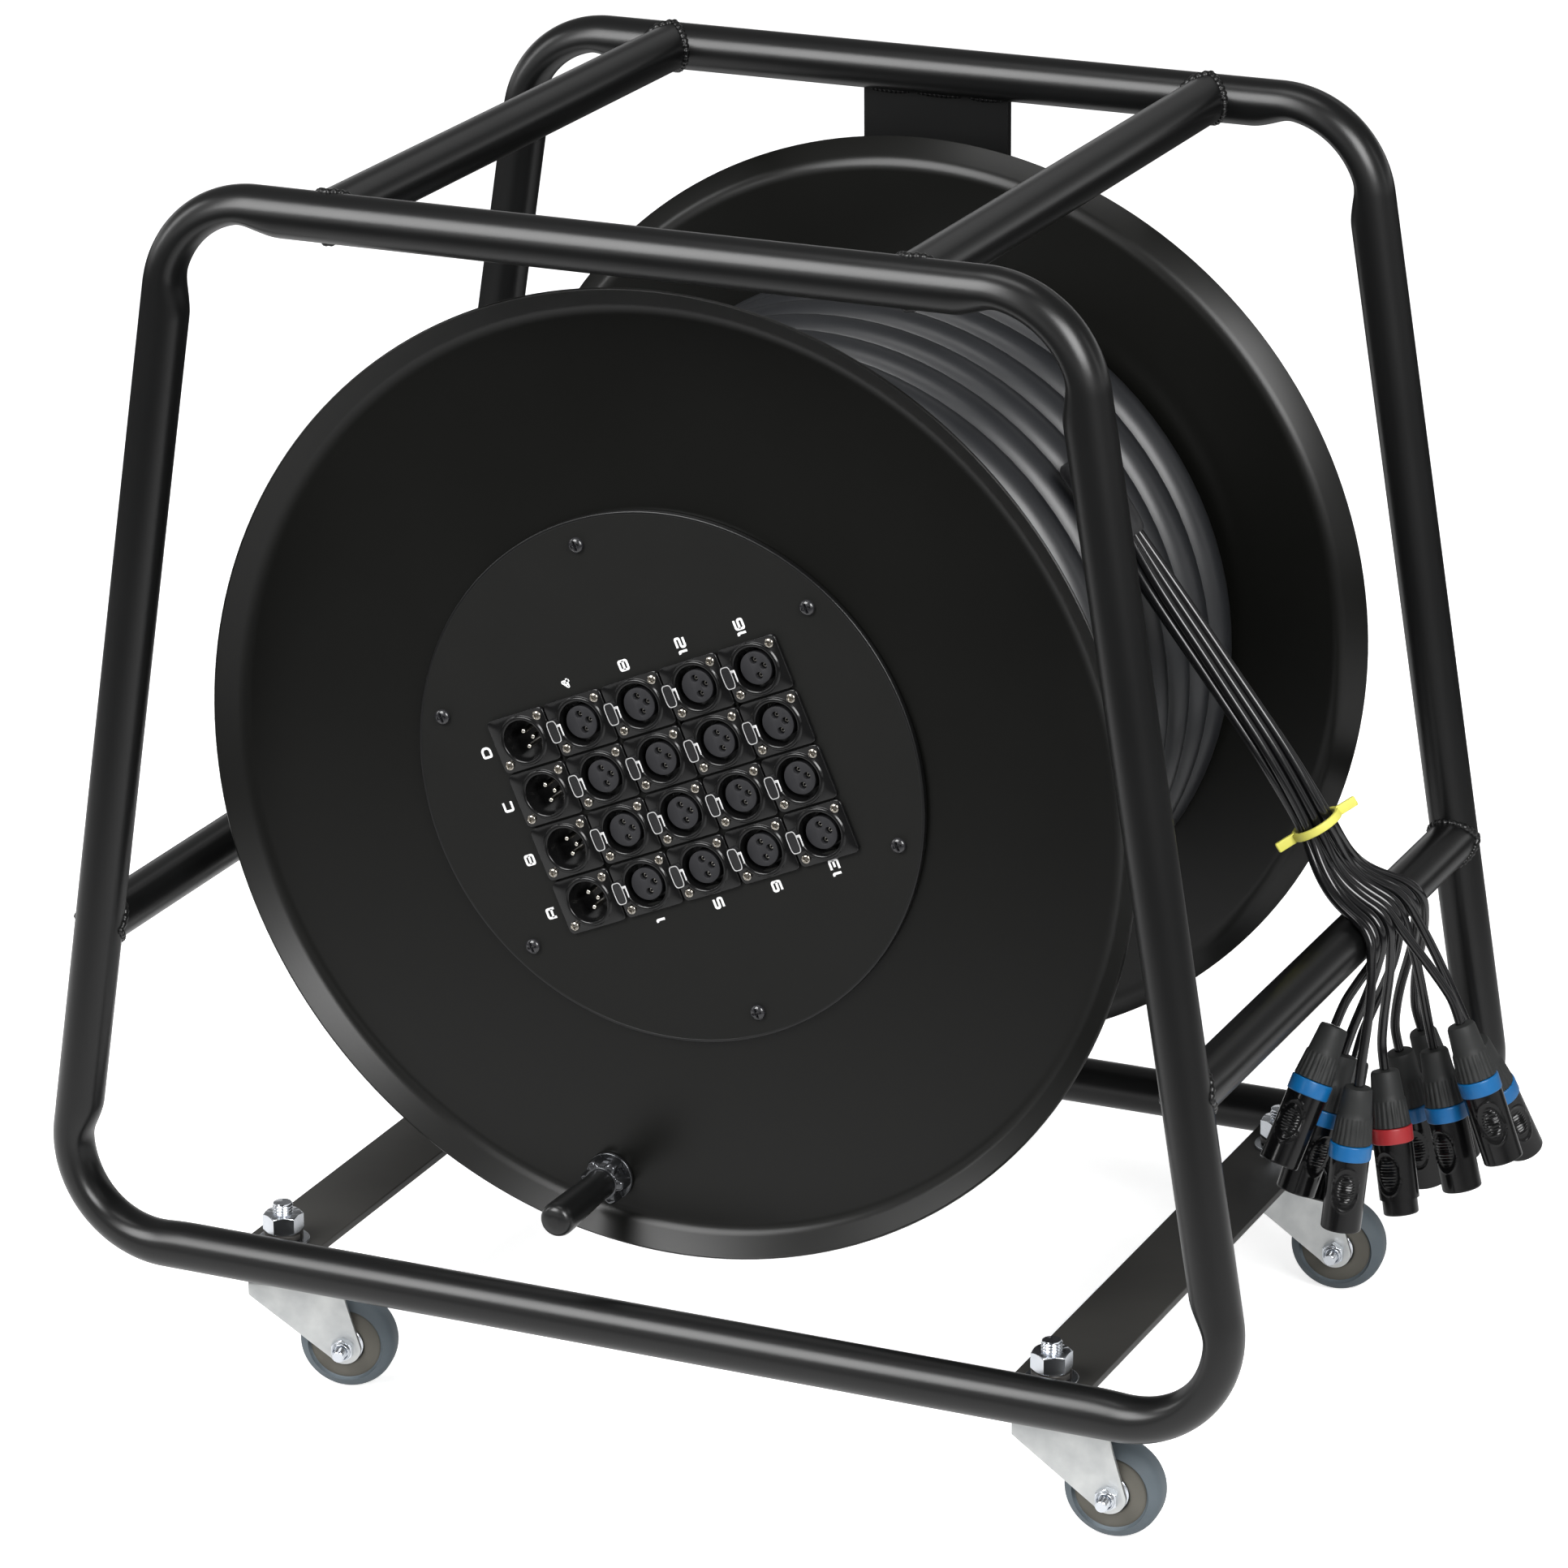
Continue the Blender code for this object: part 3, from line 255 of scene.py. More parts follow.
def piece(name, grids, material, body="frame", nodes=(), at=Matrix.Identity(4), joined=False, sharp=38,
          sheet=False):
    """A piece made of grids of points, which are carried by a frame and then made metres. It stands
    for these CAD nodes.

    Each grid holds rings of points that go round the shape, one ring after another. A point at the
    middle of each end ring closes it, or where it is joined the last ring meets the first. A sheet
    is open: neither its rings nor its ends are closed. Faces point outward.
    """
    points, faces, count = [], [], 0
    for grid in grids:
        grid = put(grid, at)
        rows, columns = grid.shape[:2]
        index = np.arange(rows * columns).reshape(rows, columns)
        low, high = (index, np.roll(index, -1, 0)) if joined else (index[:-1], index[1:])
        corners = [low, np.roll(low, -1, 1), np.roll(high, -1, 1), high]
        if sheet:
            corners = [part[:, :-1] for part in corners]
        quads = np.stack(corners, axis=-1).reshape(-1, 4)
        flat = grid.reshape(-1, 3)
        caps = np.zeros((0, 3), int)
        if not joined and not sheet:
            start = np.stack([np.roll(index[0], -1), index[0], np.full(columns, rows * columns)], -1)
            end = np.stack([index[-1], np.roll(index[-1], -1), np.full(columns, rows * columns + 1)], -1)
            caps = np.concatenate([start, end])
            flat = np.concatenate([flat, grid[[0, -1]].mean(axis=1)])
        wedges = np.concatenate([quads[:, [0, 1, 2]], quads[:, [0, 2, 3]], caps])
        a, b, c = (flat - flat.mean(axis=0))[wedges].transpose(1, 0, 2)
        if not sheet and (a * np.cross(b, c)).sum() < 0:
            quads, caps = quads[:, ::-1], caps[:, ::-1]
        points.append(flat * MM)
        faces += (quads + count).tolist() + (caps + count).tolist()
        count += len(flat)
    mesh = bpy.data.meshes.new(name)
    mesh.from_pydata(np.concatenate(points), [], faces)
    made = finished(name, mesh, material, body, sharp)
    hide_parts(*nodes)
    return made


def finish(name, dark, light, roughness, patches=9.0, grain=(900.0, 0.01), metallic=0.0, coat=0.0,
           specular=0.5):
    """A Principled material. Its colour and roughness drift softly in patches, this many a metre, and
    a fine grain, of waves a metre and millimetres deep, breaks up its highlights."""
    made = bpy.data.materials.new(name)
    made.use_nodes = True
    inputs = made.node_tree.nodes["Principled BSDF"].inputs
    for socket, value in (("Metallic", metallic), ("Coat Weight", coat), ("Coat Roughness", 0.12),
                          ("Specular IOR Level", specular)):
        inputs[socket].default_value = value
    place = coordinates(made)
    place.noise(patches, 4.0).between(dark, light).feed(inputs["Base Color"])
    low, high = roughness
    (place.noise(patches * 2.3, 5.0) * (high - low) + low).feed(inputs["Roughness"])
    waves, depth = grain
    height = place.noise(waves, 3.0) * (depth * MM)
    height.node("ShaderNodeBump", (), {"Height": height, "Distance": 1.0}).feed(inputs["Normal"])
    return made


black_coat = finish("black_powder_coat", (0.0034, 0.0035, 0.0036), (0.0050, 0.0051, 0.0051), (0.27, 0.33),
                    grain=(420.0, 0.016), specular=0.42)
hoop_low, hoop_high = box("front_hoop")
TUBE_R = (hoop_high.y - hoop_low.y) / 2
HOOP_Y = -(hoop_high.y + hoop_low.y) / 2
TUBE_Z, TOP_TUBE_Z = hoop_low.z + TUBE_R, hoop_high.z - TUBE_R
HOOP_BASE_W, HOOP_TOP_W, BEND_R, BEND_DENT = 599.0, 434.0, 47.0, 5.0
CREASE, LONG_CREASE, RUN_IN = 24.0, 64.0, 14.0
hoop_line, hoop_pressed = [], []
hoop_corners = np.array([(-HOOP_BASE_W / 2, TUBE_Z), (-HOOP_TOP_W / 2, TOP_TUBE_Z),
                         (HOOP_TOP_W / 2, TOP_TUBE_Z), (HOOP_BASE_W / 2, TUBE_Z)])
for corner, last, after in zip(hoop_corners, np.roll(hoop_corners, 1, 0), np.roll(hoop_corners, -1, 0)):
    ways = unit(last - corner), unit(after - corner)
    half = math.acos(ways[0] @ ways[1]) / 2
    sweep = math.pi - 2 * half
    centre = corner + unit(ways[0] + ways[1]) * BEND_R / math.sin(half)
    start, end = (corner + way * BEND_R / math.tan(half) - centre for way in ways)
    share = np.linspace(0, 1, 41)[:, None]
    arc = centre + (start * np.sin((1 - share) * sweep) + end * np.sin(share * sweep)) / math.sin(sweep)
    straight = np.linspace(1, 0.1, 8)[:, None] * RUN_IN
    arc = np.concatenate([arc[0] + ways[0] * straight, arc, arc[-1] + ways[1] * straight[::-1]])
    hoop_line.append(np.insert(arc, 1, 0, axis=1))
    reach = np.concatenate([[0], np.cumsum(np.linalg.norm(np.diff(arc, axis=0), axis=1))])
    fades = [LONG_CREASE if way[1] == 0 and corner[1] == TUBE_Z else CREASE for way in ways]
    hoop_pressed.append(np.clip(np.minimum(reach / fades[0], (reach[-1] - reach) / fades[1]), 0, 1))
hoop_line = np.concatenate(hoop_line)
hoop_pressed = np.concatenate(hoop_pressed)
hoop_pressed = hoop_pressed * hoop_pressed * (3 - 2 * hoop_pressed) * BEND_DENT / TUBE_R
for name, y in (("front_hoop", -HOOP_Y), ("rear_hoop", HOOP_Y)):
    hoop = tube(hoop_line + (0, y, 0), TUBE_R, 48, loop=True, pressed=hoop_pressed)
    piece(name + "_tube", [hoop], black_coat, nodes=[name], joined=True)

# Crossbars. Four lengths of the same tube from hoop to hoop, two along the top and two half way
# down the legs, each end cut to a saddle that fits round the hoop and welded all round it.


def saddle(a, tilt):
    """How far short of the hoop's centre a bar ends, at angle a round it, to fit the hoop's tube.

    reach = sqrt(R^2 - p^2), with p the distance of the bar's skin from the hoop tube's axis.
    """
    across = TUBE_R * (np.cos(a) * tilt[1] - np.sin(a) * tilt[0])
    return np.sqrt(np.maximum(TUBE_R ** 2 - across ** 2, 0))


def bar_skin(a, x, y, z):
    """Points at angles a round a bar along Y whose middle is at x and z."""
    return np.stack([x + TUBE_R * np.cos(a), y + 0 * a, z + TUBE_R * np.sin(a)], -1)


LEG_SLOPE = (HOOP_BASE_W - HOOP_TOP_W) / 2 / (TOP_TUBE_Z - TUBE_Z)
LOWER_BAR_RISE, TOP_BAR_X = 158.6, 141.0
lower_bar_x = HOOP_BASE_W / 2 - LEG_SLOPE * LOWER_BAR_RISE
lower_bar_z = TUBE_Z + LOWER_BAR_RISE
BEAD_R, BEAD_RIPPLE, STRAIGHT_FROM = 1.9, 2.4, 30.0
a, b = around(64), around(240)
beads = []
for word, side in (("left", -1), ("right", 1)):
    for name, x, z, tilt in (("top_crossbar_", side * TOP_BAR_X, TOP_TUBE_Z, (1.0, 0.0)),
                             ("lower_crossbar_", side * lower_bar_x, lower_bar_z,
                              unit(np.array((-side * LEG_SLOPE, 1.0))))):
        short = saddle(a, tilt)
        bar = np.stack([bar_skin(a, x, end * (HOOP_Y - keep), z)
                        for end, keep in ((-1, short), (-1, STRAIGHT_FROM), (1, STRAIGHT_FROM), (1, short))])
        piece(name + word + "_tube", [bar], black_coat, nodes=[name + word])
        for end in (-1, 1):
            ripple = BEAD_R * (0.92 + 0.12 * np.sin(b * TUBE_R / BEAD_RIPPLE * math.tau)
                               + 0.1 * np.sin(3 * b + x * 0.09 + end))
            line = bar_skin(b, x, end * (HOOP_Y - saddle(b, tilt)), z)
            beads.append(tube(line, ripple, 10, across=(0.05, 1, 0.08), loop=True))
piece("crossbar_weld_beads", beads, black_coat, joined=True, sharp=80)

# Base bars. Two flat steel bars, 38 by 4 mm, from front tube to rear tube, a little under the
# tubes' centres, which carry the castors. Their ends are welded along the tubes.


def rounded(corners, radius, steps=4, loop=False):
    """A line of corner points with each corner turned into a short curve.

    Each curve is corner + start * (1 - t)^2 + end * t^2, with start and end at the given radius
    along the two sides, or at 0.45 of a short side.
    """
    corners = np.asarray(corners, float)
    before = np.roll(corners, 1, axis=0) - corners
    after = np.roll(corners, -1, axis=0) - corners
    if not loop:
        before[0] = after[-1] = 0
    reach = np.broadcast_to(np.reshape(radius, (-1, 1)), (len(corners), 1))
    start, end = (way * np.minimum(reach / np.maximum(np.linalg.norm(way, axis=1, keepdims=True), 1e-6), 0.45)
                  for way in (before, after))
    t = np.linspace(0, 1, steps + 1)[None, :, None]
    curves = corners[:, None] + start[:, None] * (1 - t) ** 2 + end[:, None] * t ** 2
    return curves.reshape(-1, corners.shape[1])


def collar(inner, outer, start, end, edge, steps=4, loop=False):
    """A profile of (r, z) points with rounded corners: out from the inner radius to the outer at
    the start, along to the end, and back in."""
    return rounded([(inner, start), (outer, start), (outer, end), (inner, end)], edge, steps, loop)


def bead_along(x, y, z, ripple):
    """A weld bead along X at this y and z, as thick as the ripple says at each x."""
    return tube(np.stack(np.broadcast_arrays(x, y, z), -1), ripple, 10)


def slab(low, high, edge=0.7, axis=1):
    """Rings of a flat bar along one axis, with all its edges rounded."""
    low, high = np.array(low), np.array(high)
    others = [k for k in range(3) if k != axis]
    (left, bottom), (right, top) = low[others], high[others]
    outline = rounded([(left, bottom), (right, bottom), (right, top), (left, top)], edge, 3, loop=True)
    middle = (low + high)[others] / 2
    shrink = 1 - 2 * edge / (high - low)[others]
    ends = [(0, shrink), (0.3 * edge, (1 + 2 * shrink) / 3), (edge, 1)]
    rows = [(low[axis] + inset, keep) for inset, keep in ends]
    rows += [(high[axis] - inset, keep) for inset, keep in ends[::-1]]
    return np.stack([np.insert(middle + (outline - middle) * keep, axis, place, axis=1)
                     for place, keep in rows])


bar_coat = finish("flat_bar_coat", (0.0260, 0.0252, 0.0234), (0.0370, 0.0358, 0.0330), (0.40, 0.52),
                  patches=20.0, grain=(420.0, 0.02), specular=0.4)
beads = []
for word in ("left", "right"):
    low, high = box("base_bar_" + word)
    reach = HOOP_Y - TUBE_R * 0.8
    bar = slab((low.x, -reach, low.z), (high.x, reach, high.z))
    piece("base_bar_" + word + "_flat", [bar], bar_coat, nodes=["base_bar_" + word])
    x = np.linspace(low.x + 1, high.x - 1, 60)
    ripple = 1.7 * (0.9 + 0.16 * np.sin(x / BEAD_RIPPLE * math.tau))
    for end in (-1, 1):
        for z in (low.z, high.z):
            y = end * (HOOP_Y - math.sqrt(TUBE_R ** 2 - (z - TUBE_Z) ** 2) - 0.4)
            beads.append(bead_along(x, y, z, ripple))
piece("base_bar_weld_beads", beads, black_coat, sharp=80)

# Rear upright. One wide flat bar welded between the rear hoop's top and bottom tubes. The spool's
# spindle is fixed to it. Its welds are short runs.
low, high = box("rear_upright")
upright = slab((low.x, low.y, low.z - 1.5), (high.x, high.y, high.z + 1.5), axis=2)
piece("rear_upright_flat", [upright], black_coat, nodes=["rear_upright"])
beads = []
for z in (low.z - 0.6, high.z + 0.6):
    for start, length in ((-34, 20), (-10, 24), (18, 17)):
        x = np.linspace(start, start + length, 40)
        ripple = 1.9 * (0.85 + 0.2 * np.sin(x / BEAD_RIPPLE * math.tau))
        ripple = ripple * np.sin(np.linspace(0.25, math.pi - 0.25, 40)) ** 0.4
        beads += [bead_along(x, y, z, ripple) for y in (low.y - 0.3, high.y + 0.3)]
piece("upright_weld_beads", beads, black_coat, sharp=80)

# Castor studs. A zinc plated king pin through the base bar, with its threaded end standing up out
# of a chamfered nut, a dark spring washer, a wide flat washer, and the upper ball race below.
zinc = finish("bright_zinc", (0.60, 0.64, 0.70), (0.78, 0.80, 0.83), (0.16, 0.30), patches=60.0,
              grain=(1500.0, 0.006), metallic=1.0)
dark_steel = finish("blackened_steel", (0.030, 0.029, 0.028), (0.060, 0.055, 0.050), (0.28, 0.42),
                    patches=120.0, metallic=0.6)


def rings(r, a, z):
    """Points at radius r, angle a and height z: (r cos a, r sin a, z)."""
    return np.stack(np.broadcast_arrays(r * np.cos(a), r * np.sin(a), z), -1)


def turned(profile, columns=64):
    """Rings round Z for a profile of (r, z) points."""
    r, z = np.asarray(profile, float).T[:, :, None]
    return rings(r, around(columns), z)


def threaded(radius, low, high, pitch, depth, columns=40):
    """A screw thread round Z: r(a, z) = radius - depth * |2 frac(z / pitch - a / 2 pi) - 1|."""
    z = np.linspace(low, high, int((high - low) / pitch * 9) + 2)[:, None]
    a = around(columns)
    wave = np.abs(2 * ((z / pitch - a / math.tau) % 1) - 1)
    taper = np.clip((high - z) / (0.8 * depth + 0.5), 0, 1)
    return rings(radius - depth * wave - (1 - taper) * depth, a, z)


def hexagon_nut(across_flats, low, high, columns=72):
    """A nut round Z with both ends chamfered.

    r(a, z) is the smaller of the flat's reach, half / cos(a to the nearest flat's middle), and a
    60 degree cone that starts at the flats' middles at each end.
    """
    half, slope = across_flats / 2, 1.75
    step = np.array([0, 0.12, 0.26, 0.42, 0.6, 0.8, 1.0]) * 0.06 * across_flats
    z = np.concatenate([low + step, high - step[::-1]])[:, None]
    a = around(columns)
    flat = half / np.cos((a + math.pi / 6) % (math.pi / 3) - math.pi / 6)
    return rings(np.minimum(flat, half + slope * np.minimum(z - low, high - z)), a, z)


def castor_frame(word, yaw=0.0):
    """A frame on the floor under a castor's king pin, swivelled by so many degrees."""
    low, high = box("castor_stud_" + word)
    middle = Matrix.Translation(((low.x + high.x) / 2, (low.y + high.y) / 2, 0))
    return middle @ Matrix.Rotation(math.radians(yaw), 4, "Z")


# Each castor with the swivel that it stands at, in degrees
CASTORS = {"front_left": 14.0, "front_right": 5.0, "rear_right": 8.0, "rear_left": 11.0}
bar_under, bar_top = (corner.z for corner in box("base_bar_left"))
WHEEL_R = box("castor_wheel_front_left")[1].z / 2
RACE_R, RACE_SPLIT = 16.5, 61.2
PIN_R, PIN_PROUD, THREAD_PITCH, THREAD_DEPTH = 5.0, 5.5, 1.5, 0.55
STEEL_WASHER_R, STEEL_WASHER_T, SPRING_WASHER_R, SPRING_WASHER_T = 12.5, 2.0, 9.5, 4.0
NUT_AF, NUT_H = 17.0, 9.0
steel_top = bar_top + STEEL_WASHER_T
spring_top = steel_top + SPRING_WASHER_T
nut_top = spring_top + NUT_H
pin_head = WHEEL_R * 2 + 4.6
washer = collar(PIN_R, STEEL_WASHER_R, bar_top, steel_top, 0.45)
race = rounded([(PIN_R, bar_under - 0.2), (RACE_R - 3.2, bar_under - 0.2), (RACE_R, RACE_SPLIT + 2.4),
                (RACE_R, RACE_SPLIT + 0.3), (PIN_R, RACE_SPLIT + 0.3)], 1.1)
head = rounded([(0.2, pin_head + 2.2), (7.4, pin_head + 2.2), (6.6, pin_head + 0.1), (0.2, pin_head)], 0.8)
stud = [threaded(PIN_R, bar_under - 4, nut_top + PIN_PROUD, THREAD_PITCH, THREAD_DEPTH),
        hexagon_nut(NUT_AF, spring_top, nut_top), turned(washer), turned(race), turned(head)]
SPLIT_HALF, SPLIT_LIFT = 0.10, 0.9
wall = np.linspace(SPLIT_HALF, math.tau - SPLIT_HALF, 60)[:, None]
spring = collar(PIN_R + 0.4, SPRING_WASHER_R, -1.75, 1.75, 0.5, 3, loop=True)
coil = rings(spring[:, 0], wall,
             spring[:, 1] * 0.86 + (wall / math.tau - 0.5) * SPLIT_LIFT + (steel_top + spring_top) / 2)
for word in CASTORS:
    at = castor_frame(word)
    piece("castor_stud_%s_pin" % word, stud, zinc, nodes=["castor_stud_" + word], at=at)
    piece("castor_spring_washer_" + word, [coil], dark_steel, at=at)

# Castor forks. Each is one pressing of 2 mm steel, folded down at both sides of the wheel into
# long cheeks that taper to a round boss, with the lower ball race, axle bolt and lock nut.
fork_zinc = finish("fork_zinc", (0.400, 0.415, 0.425), (0.740, 0.750, 0.735), (0.32, 0.56), patches=85.0,
                   grain=(700.0, 0.012), metallic=0.85)
FORK_TRAIL, BOSS_R, FORK_SHEET, FOLD_R = 31.0, 8.5, 2.0, 3.0
CROWN_FRONT, CROWN_BACK, CROWN_TOP = 15.0, 30.0, WHEEL_R * 2 + 9.1
WHEEL_HALF = 9.7
CHEEK = WHEEL_HALF + 1.0 + FORK_SHEET
BOLT_R, BOLT_END, AXLE_NUT_AF, AXLE_NUT_H = 3.0, 24.0, 10.0, 5.0
AXLE = Matrix.Translation((FORK_TRAIL, 0, WHEEL_R)) @ Matrix.Rotation(math.pi / 2, 4, "X")
heights = np.concatenate([WHEEL_R + BOSS_R * np.sin(np.linspace(-1.5, 0.15, 18)),
                          np.linspace(WHEEL_R + 2.5, 48, 8)])
fold = np.linspace(0, math.pi / 2, 7)
up = np.concatenate([np.stack([0 * heights + CHEEK, heights], -1),
                     np.stack([np.cos(fold) - 1, np.sin(fold) - 1], -1) * FOLD_R + (CHEEK, CROWN_TOP)])
over_y, over_z = np.concatenate([up, up[::-1] * (-1, 1)]).T[:, :, None]
round_x = np.sqrt(np.maximum(BOSS_R ** 2 - (over_z - WHEEL_R) ** 2, 0))
knee, tangent = CROWN_TOP - 8, math.radians(-140)
tangent_x, tangent_z = FORK_TRAIL + BOSS_R * math.cos(tangent), WHEEL_R + BOSS_R * math.sin(tangent)
slant = tangent_x + (over_z - tangent_z) / (knee - tangent_z) * (-CROWN_FRONT - tangent_x)
ahead = np.where(over_z < tangent_z, FORK_TRAIL - round_x, np.maximum(slant, -CROWN_FRONT))
boss_back = FORK_TRAIL + BOSS_R
backing = boss_back + (over_z - WHEEL_R) / (CROWN_TOP - WHEEL_R) * (CROWN_BACK - boss_back)
behind = np.where(over_z < WHEEL_R, FORK_TRAIL + round_x, backing)
sheet = np.stack(np.broadcast_arrays(ahead + (behind - ahead) * np.linspace(0, 1, 14), over_y, over_z), -1)
race = rounded([(PIN_R + 0.5, RACE_SPLIT), (RACE_R, RACE_SPLIT), (RACE_R, RACE_SPLIT - 2.2),
                (RACE_R - 3.2, CROWN_TOP - 0.5), (PIN_R + 0.5, CROWN_TOP - 0.5)], 1.0)
head_end = -CHEEK - AXLE_NUT_H
head = rounded([(0.2, head_end), (5.0, head_end), (5.4, head_end + 1.2), (5.4, -CHEEK), (0.2, -CHEEK)], 0.9)
lock = rounded([(BOLT_R, CHEEK + 2.8), (3.9, CHEEK + AXLE_NUT_H + 1), (4.5, CHEEK + AXLE_NUT_H),
                (4.8, CHEEK + 3.4)], 0.5)
spacers = [collar(BOLT_R, 7.6, side * (WHEEL_HALF + 0.45), side * (CHEEK - FORK_SHEET), 0.2)
           for side in (-1, 1)]
bolt = [threaded(BOLT_R, CHEEK - 1, BOLT_END, 1.0, 0.35, 32), turned([(BOLT_R, -CHEEK), (BOLT_R, CHEEK)], 32),
        hexagon_nut(AXLE_NUT_AF, CHEEK, CHEEK + 4.2)]
axle = [put(grid, AXLE) for grid in bolt + [turned(lock, 48), turned(head, 48)]] + [turned(race)]
axle += [put(turned(spacer, 48), AXLE) for spacer in spacers]
for word, yaw in CASTORS.items():
    at = castor_frame(word, yaw)
    fork = piece("castor_fork_%s_sheet" % word, [sheet], fork_zinc, "castor_" + word, ["castor_fork_" + word],
                 at=at, sheet=True, sharp=60)
    solid = fork.modifiers.new("thickness", "SOLIDIFY")
    solid.thickness = FORK_SHEET * MM
    solid.offset = 1.0
    solid.use_even_offset = True
    edge = fork.modifiers.new("edge", "BEVEL")
    edge.width = 0.25 * MM
    edge.segments = 2
    edge.limit_method = "ANGLE"
    edge.angle_limit = math.radians(60)
    piece("castor_fork_%s_axle" % word, axle, zinc, "castor_" + word, at=at)

# Castor wheels. A grey rubber tyre with rounded shoulders, moulded on a brown-grey plastic hub
# whose face is dished round a pressed steel bearing cup.
tyre_rubber = finish("grey_rubber_tyre", (0.085, 0.108, 0.125), (0.135, 0.160, 0.178), (0.50, 0.68),
                     patches=40.0, grain=(1200.0, 0.02), specular=0.35)
hub_plastic = finish("hub_plastic", (0.093, 0.087, 0.073), (0.133, 0.127, 0.108), (0.45, 0.60),
                     patches=70.0, grain=(1400.0, 0.012), specular=0.35)


def mirrored(side):
    """A profile that goes on through its own mirror image below z = 0, back to its start."""
    return side + [(r, -z) for r, z in side[::-1]]


HUB_R, DISH, SHOULDER, CUP_R = 17.5, 1.6, 4.0, 9.4
half = WHEEL_HALF
side = [(HUB_R - 1.5, half - DISH - 1), (HUB_R + 0.15, half - DISH), (HUB_R + 0.9, half - 0.1),
        (WHEEL_R - SHOULDER * 1.3, half), (WHEEL_R, half - SHOULDER)]
tyre = rounded(mirrored(side), [0.2, 0.2, 0.4, 3.5, 3.5, 3.5, 3.5, 0.4, 0.2, 0.2], 6, loop=True)
hub = rounded(mirrored([(CUP_R, half - 2.2), (CUP_R, half - 0.2), (CUP_R + 1.2, half + 0.1),
                        (HUB_R - 2.2, half - DISH + 0.3), (HUB_R - 0.1, half - DISH - 0.25)]),
              0.6, 3, loop=True)
cup = rounded(mirrored([(BOLT_R + 0.4, half - 0.6), (6.0, half + 0.15), (CUP_R - 1.6, half + 0.1),
                        (CUP_R - 0.15, half - 0.9), (CUP_R - 0.15, half - 2.0)]), 0.5, 3, loop=True)
for word, yaw in CASTORS.items():
    for name, profile, columns, material, nodes in (("tyre", tyre, 96, tyre_rubber, ["castor_wheel_" + word]),
                                                    ("hub", hub, 80, hub_plastic, []),
                                                    ("bearing", cup, 48, zinc, [])):
        piece("castor_%s_%s" % (name, word), [turned(profile, columns)], material, "wheel_" + word, nodes,
              at=castor_frame(word, yaw) @ AXLE, joined=True)

# Spool discs. Two spun discs of 1.5 mm steel sheet whose edge is turned outward into a coned lip,
# lacquered satin black. The bend at the lip catches the light as a thin line.
disc_coat = finish("spool_satin_black", (0.0025, 0.0026, 0.0022), (0.0036, 0.0036, 0.0030), (0.27, 0.34),
                   patches=6.0, grain=(1100.0, 0.008), specular=0.30)
front_low, front_high = box("front_disc")
AXLE_Z = (front_low.z + front_high.z) / 2
DISC_R = (front_high.z - front_low.z) / 2
DISC_T, LIP_RUN, LIP_DEPTH = 1.5, 11.0, 10.5
FRONT_HOLE_R, REAR_HOLE_R = 108.0, 22.0
DISC_FACE_Y, SPOOL_REAR_Y = front_high.y - DISC_T, box("rear_disc")[0].y


def spool_frame(y):
    """A frame on the axle whose Z points to the front and whose Y points up."""
    return Matrix.Translation((0, y, AXLE_Z)) @ Matrix.Rotation(math.pi / 2, 4, "X")


lean = math.atan2(LIP_DEPTH, LIP_RUN)
rim = np.array((math.sin(lean), -math.cos(lean))) * DISC_T
outer_rim = np.array((DISC_R - rim[0], LIP_DEPTH))
bend = DISC_R - LIP_RUN
for name, hole, at in (("front_disc", FRONT_HOLE_R, spool_frame(DISC_FACE_Y)),
                       ("rear_disc", REAR_HOLE_R, spool_frame(SPOOL_REAR_Y + DISC_T)
                        @ Matrix.Rotation(math.pi, 4, "X"))):
    section = rounded([(hole, 0), (bend - rim[0] * 0.6, 0), outer_rim, outer_rim + rim, (bend + 0.2, -DISC_T),
                       (hole, -DISC_T)], [0.3, 4.0, 0.5, 0.5, 4.5, 0.3], 8, loop=True)
    middle = np.linspace(hole, bend - 6, 12)[1:-1]
    section = np.concatenate([section[:9], np.stack([middle, 0 * middle], -1), section[9:]])
    piece(name + "_sheet", [turned(section, 192)], disc_coat, "drum", [name], at=at, joined=True)

# Core and inner layers. The core is a rolled steel tube between the discs. Of the layers of cable
# wound on it only dark grooves show between the outer turns, so they are one ribbed sleeve.
jacket = finish("multicore_jacket", (0.0100, 0.0108, 0.0124), (0.0144, 0.0154, 0.0174), (0.34, 0.42),
                patches=26.0, grain=(650.0, 0.014), specular=0.58)
CORE_R, CORE_WALL = 112.0, 2.0
CABLE_D, TURN_PITCH, TURNS, TURN_R, GROOVE = 27.4, 28.1, 10, 157.6, 2.4
core_low, core_high = box("core_tube")
edge = (core_high.y - core_low.y) / 2
at = spool_frame((core_high.y + core_low.y) / 2)
core = collar(CORE_R - CORE_WALL, CORE_R, edge, -edge, 0.5, 3, loop=True)
piece("core_tube_sheet", [turned(core, 128)], disc_coat, "drum", ["core_tube"], at=at, joined=True)
layers_low, layers_high = box("inner_cable_layers")
along = np.linspace(edge, -edge, 12 * TURNS + 1)
ripple = 1 - np.abs(np.cos(math.pi * (along - edge) / TURN_PITCH))
bulge = (layers_high.z - layers_low.z) / 2 - GROOVE * ripple
layers = [(CORE_R + 0.4, edge), *zip(bulge, along), (CORE_R + 0.4, -edge)]
piece("inner_layers_sleeve", [turned(layers, 128)], jacket, "drum", ["inner_cable_layers"], at=at,
      joined=True)

